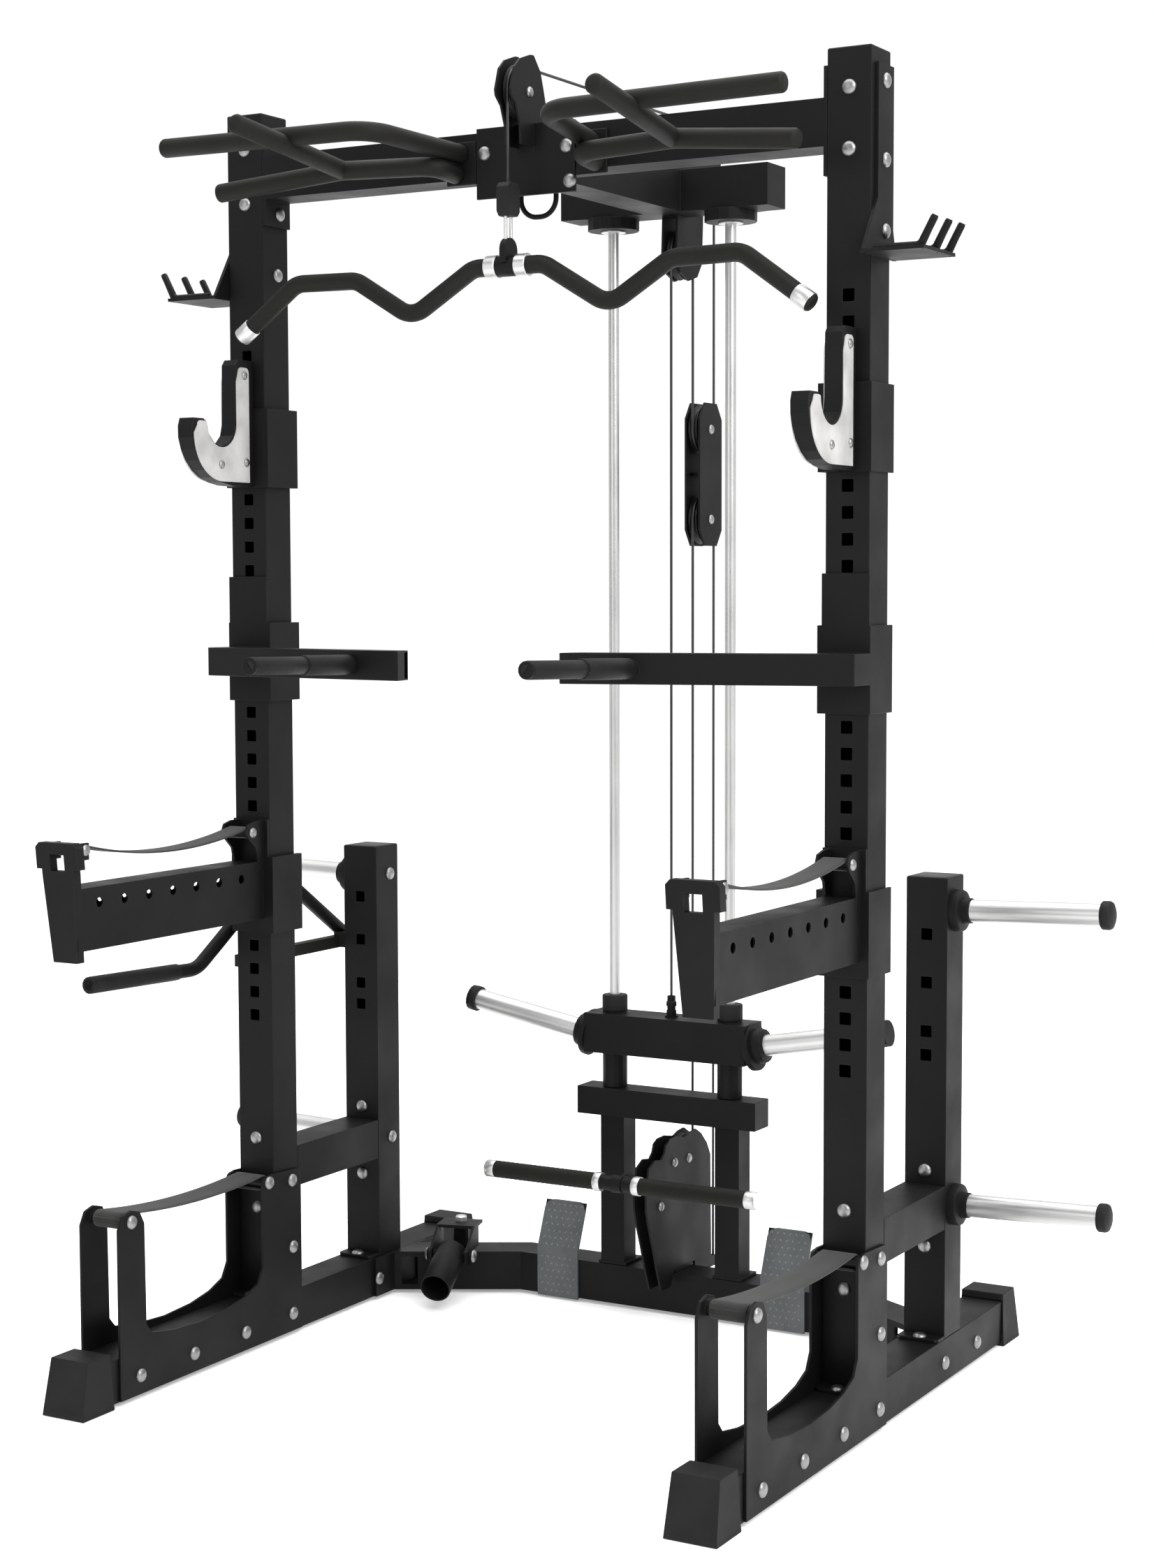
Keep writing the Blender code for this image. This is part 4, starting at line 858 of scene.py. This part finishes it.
def j_hooks(word, side):
    """A grey side plate each side of the hook's black body, with its bolts."""
    body, x = "j_hook_" + word, side * SIDE_X
    plate_inner, plate_outer = 0.0149, 0.0175
    seat_y, seat_z, seat_r = -0.097, 1.661, 0.043
    inside = circle(seat_y, seat_z, seat_r, 0, -180, 14)
    outside = circle(-0.094, 1.640, 0.0815, 180, 270, 12)
    lip = circle(-0.158, 1.654, 0.008, 90, 180, 4)
    top = circle(-0.027, 1.752, 0.009, 0, 90, 4) + circle(-0.040, 1.752, 0.009, 90, 180, 4)
    outline = outside + [(-0.018, 1.5585)] + top + [(-0.054, 1.735)] + inside + [(-0.148, 1.662)] + lip
    for label, low, high in (("outer", plate_inner, plate_outer), ("inner", -plate_outer, -plate_inner)):
        bm = bmesh.new()
        prism_into(bm, [(FRONT_Y + y, z) for y, z in outline], "X", x + low, x + high)
        soften(piece(f"hook_plate_{label}_{word}", mesh_of(bm), body, LINER), 0.0008)
    spots = []
    for y, z in ((-0.032, 1.747), (-0.028, 1.594), (-0.100, 1.588)):
        for way in (1, -1):
            spots.append((place(x + way * plate_outer, y, z), (way, 0, 0)))
    bolts("hook_bolts_" + word, body, spots, 0.62)


def dip_arms(word, side):
    """The rubber grip of a dip arm, thinner toward its end."""
    body = "dip_arm_" + word
    start, knee = place(side * 0.2695, -0.140, 1.2418), place(side * 0.2632, -0.287, 1.2445)
    stop = place(side * 0.256, -0.441, 1.2475)
    swept("dip_grip_" + word, [start, knee], 0.0170, body, RUBBER, 28, 0.3)
    swept("dip_grip_end_" + word, [knee.lerp(start, 0.05), stop], 0.0147, body, RUBBER, 28, 0.45)


def spotters(word, side):
    """Bolt heads at both ends of a spotter arm's strap."""
    body, x = "spotter_" + word, side * SIDE_X
    spots = []
    for way in (1, -1):
        spots.append((place(x + way * 0.0325, *SPOTTER_TIP), (way, 0, 0)))
        spots.append((place(x + way * 0.0285, *SPOTTER_ROOT), (way, 0, 0)))
    bolts("spotter_bolts_" + word, body, spots, 0.8)


def storage_hooks(word, side):
    """Three bent prongs on a storage hook's shelf."""
    shelf_z, prong_r = 1.8905, 0.0060
    bm = bmesh.new()
    for y in (-0.033, 0.025, 0.078):
        path = rounded([place(side * 0.640, y, shelf_z), place(side * 0.717, y, shelf_z),
                        place(side * 0.741, y, 1.934)], 0.012, 6)
        sweep_into(bm, path, prong_r, 16, 0.5)
    piece("hook_prongs_" + word, mesh_of(bm), "frame", PAINT)


def hanging_ring():
    """The wire loop under the crossbeam."""
    half, y, top, bottom = 0.034, 0.0375, 2.055, 1.992
    path = rounded([place(-half, y, top), place(-half, y, bottom), place(half, y, bottom),
                    place(half, y, top)], 0.030, 10)
    swept("hanging_ring", path, 0.0043, "frame", PAINT, 14, 0.1)


def footplate_tread(word, side):
    """Raised lozenges in rows over the footplate's two leaves."""
    row_step, column_step, stagger, inset = 0.013, 0.0125, 0.0075, 0.008
    half_length, half_width, sunk, height = 0.0052, 0.0017, 0.0004, 0.0009
    bm = bmesh.new()
    low_leaf = (place(0, 0.4985, 0.008), place(0, 0.4985, 0.094))
    high_leaf = (place(0, 0.4985, 0.098), place(0, 0.534, 0.185))
    for start, stop in (low_leaf, high_leaf):
        run = stop - start
        up = run.normalized()
        out = Vector((1, 0, 0)).cross(up)
        for row in range(int(run.length / row_step)):
            for col in range(6):
                across = 0.203 + column_step * col + (stagger if row % 2 else 0)
                middle = start + up * (inset + row_step * row) + Vector((side * across, 0, 0))
                tilt = 1 if (row + col) % 2 else -1
                long_way = (up + Vector((tilt * side, 0, 0))).normalized()
                wide_way = long_way.cross(out)
                foot = [middle + long_way * half_length, middle + wide_way * half_width,
                        middle - long_way * half_length, middle - wide_way * half_width]
                tops = [middle + (p - middle) * 0.45 + out * height for p in foot]
                rings_into(bm, [[p - out * sunk for p in foot], tops])
    piece("tread_" + word, mesh_of(bm), "frame", LOZENGE)


def footplates(word, side):
    """A painted leaf over each footplate, with rounded top corners and the raised tread on it."""
    inner, outer, corner, thickness = 0.1945, 0.2835, 0.016, 0.0058
    bm = bmesh.new()
    low, knee, top = place(0, 0.4982, 0.0040), place(0, 0.4982, 0.0980), place(0, 0.5337, 0.1850)
    up = (top - knee).normalized()
    columns = [inner, inner + corner * 0.3, inner + corner, (inner + outer) / 2, outer - corner,
               outer - corner * 0.3, outer]
    rings = []
    for across in columns:
        edge = min(across - inner, outer - across)
        drop = corner - math.sqrt(max(0, corner ** 2 - (corner - min(edge, corner)) ** 2))
        tip = top - up * drop
        front = [Vector((side * across, p.y, p.z)) for p in (low, knee, tip)]
        back = [Vector((side * across, p.y + thickness, p.z)) for p in (tip, knee, low)]
        rings.append(front + back)
    rings_into(bm, rings)
    piece("footplate_" + word, mesh_of(bm), "frame", TREAD)
    footplate_tread(word, side)


def base_flanges(word, side):
    """The welded flange at the foot of the upright and of the rear post, which a bolt holds down."""
    x = side * SIDE_X
    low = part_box("foot_tube_right")[1].z + GAP
    corner, thickness = 0.006, 0.0057
    for name, front, rear in (("upright", -0.034, -0.0002), ("post", POST_Y - 0.032, POST_Y - 0.0002)):
        bm = bmesh.new()
        outline = [(x - HALF, FRONT_Y + rear), (x - HALF, FRONT_Y + front + corner),
                   (x - HALF + corner, FRONT_Y + front), (x + HALF - corner, FRONT_Y + front),
                   (x + HALF, FRONT_Y + front + corner), (x + HALF, FRONT_Y + rear)]
        prism_into(bm, outline, "Z", low, low + thickness)
        soften(piece(f"{name}_flange_{word}", mesh_of(bm), "frame", PAINT), 0.0008)


def caps(word, side):
    """Plastic plugs in the tops of the upright and the rear post."""
    x = side * SIDE_X
    reach = HALF - 0.0012
    steps = ((reach, -0.001), (reach, 0.0004), (reach - 0.0010, 0.0012), (reach - 0.0060, 0.0020))
    for name, y, z in (("upright", 0.0, UPRIGHT_HIGH.z), ("post", POST_Y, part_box("rear_post_right")[1].z)):
        bm = bmesh.new()
        rings = []
        for half, height in steps:
            middle_y = FRONT_Y + y + HALF
            rings.append([Vector((x + sx * half, middle_y + sy * half, z + height))
                          for sx, sy in ((-1, -1), (1, -1), (1, 1), (-1, 1))])
        rings_into(bm, rings)
        piece(f"{name}_cap_{word}", mesh_of(bm), "frame", NYLON)


def landmine():
    """The bar sleeve with its open mouth, bolt heads on its cross pin and the swivel's nut."""
    joints = {joint["name"]: joint for joint in frame["joints"]}
    pivot, axis = (Vector(joints["landmine_tilt"][key]) for key in ("pos_m", "axis"))
    swivel = Vector(joints["landmine_swivel"]["pos_m"])
    level = axis.cross(Vector((0, 0, 1)))
    drop = math.radians(-20)
    along = (level.normalized() * math.cos(drop) + Vector((0, 0, 1)) * math.sin(drop)).normalized()
    if along.y > 0:
        along = Vector((-along.x, -along.y, along.z))
    bm = bmesh.new()
    profile = [(0, -0.012), (0.0240, -0.012), (0.0280, -0.0100), (0.0296, -0.006), (0.0296, 0.1105),
               (0.0290, 0.1118), (0.0270, 0.1118), (0.0263, 0.1105), (0.0263, 0.024), (0, 0.022)]
    turned_into(bm, profile, pivot, along, 40)
    trunnion = [(0, 0.010), (0.0105, 0.010), (0.0105, 0.0325), (0, 0.0325)]
    for way in (1, -1):
        turned_into(bm, trunnion, pivot, axis * way, 24)
    piece("bar_sleeve", mesh_of(bm), "landmine_sleeve", PAINT, "black_paint", ["landmine_sleeve"])
    spots = [(pivot + axis * way * 0.0455, axis * way) for way in (1, -1)]
    bolts("yoke_bolts", "landmine_yoke", spots)
    turned("pivot_nut", [(0, 0), (0.0120, 0), (0.0120, 0.008), (0.0085, 0.0105), (0, 0.0105)],
           Vector((swivel.x, swivel.y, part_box("landmine_yoke")[1].z)), (0, 0, 1), "frame", ZINC, 6)


def bracket_fasteners():
    """Bolt ends on the pulley brackets and the floating block."""
    wide, narrow, pin_scale = 0.0165, 0.0145, 0.75

    def both_ends(middle, reach):
        return [(Vector((way * reach, middle.y, middle.z)), (way, 0, 0)) for way in (1, -1)]

    spots = []
    for node in FIXED_PULLEYS:
        spots += both_ends(centre(node), narrow if node == "low_pulley" else wide)
    for y, z in ((0.502, 0.294), (0.447, 0.221)):
        spots += both_ends(place(0, y, z), narrow)
    bolts("bracket_pins", "frame", spots, pin_scale)
    spots = []
    for node in BLOCK_PULLEYS:
        spots += both_ends(centre(node), wide)
    bolts("block_pins", "block", spots, pin_scale)


# ---------------------------------------------------------------- the whole machine

def build():
    camera()
    studio()
    finish_nodes()
    cables()
    for word, side in SIDES:
        pullup_grips(word, side)
        storage_pegs(word, side)
        guide_rods(word)
        straps(word, side)
        j_hooks(word, side)
        dip_arms(word, side)
        spotters(word, side)
        storage_hooks(word, side)
        footplates(word, side)
        caps(word, side)
        base_flanges(word, side)
    frame_bolts()
    bracket_fasteners()
    hanging_ring()
    pulleys()
    carriage_fittings()
    lat_bar()
    row_bar()
    side_handle()
    landmine()


build()
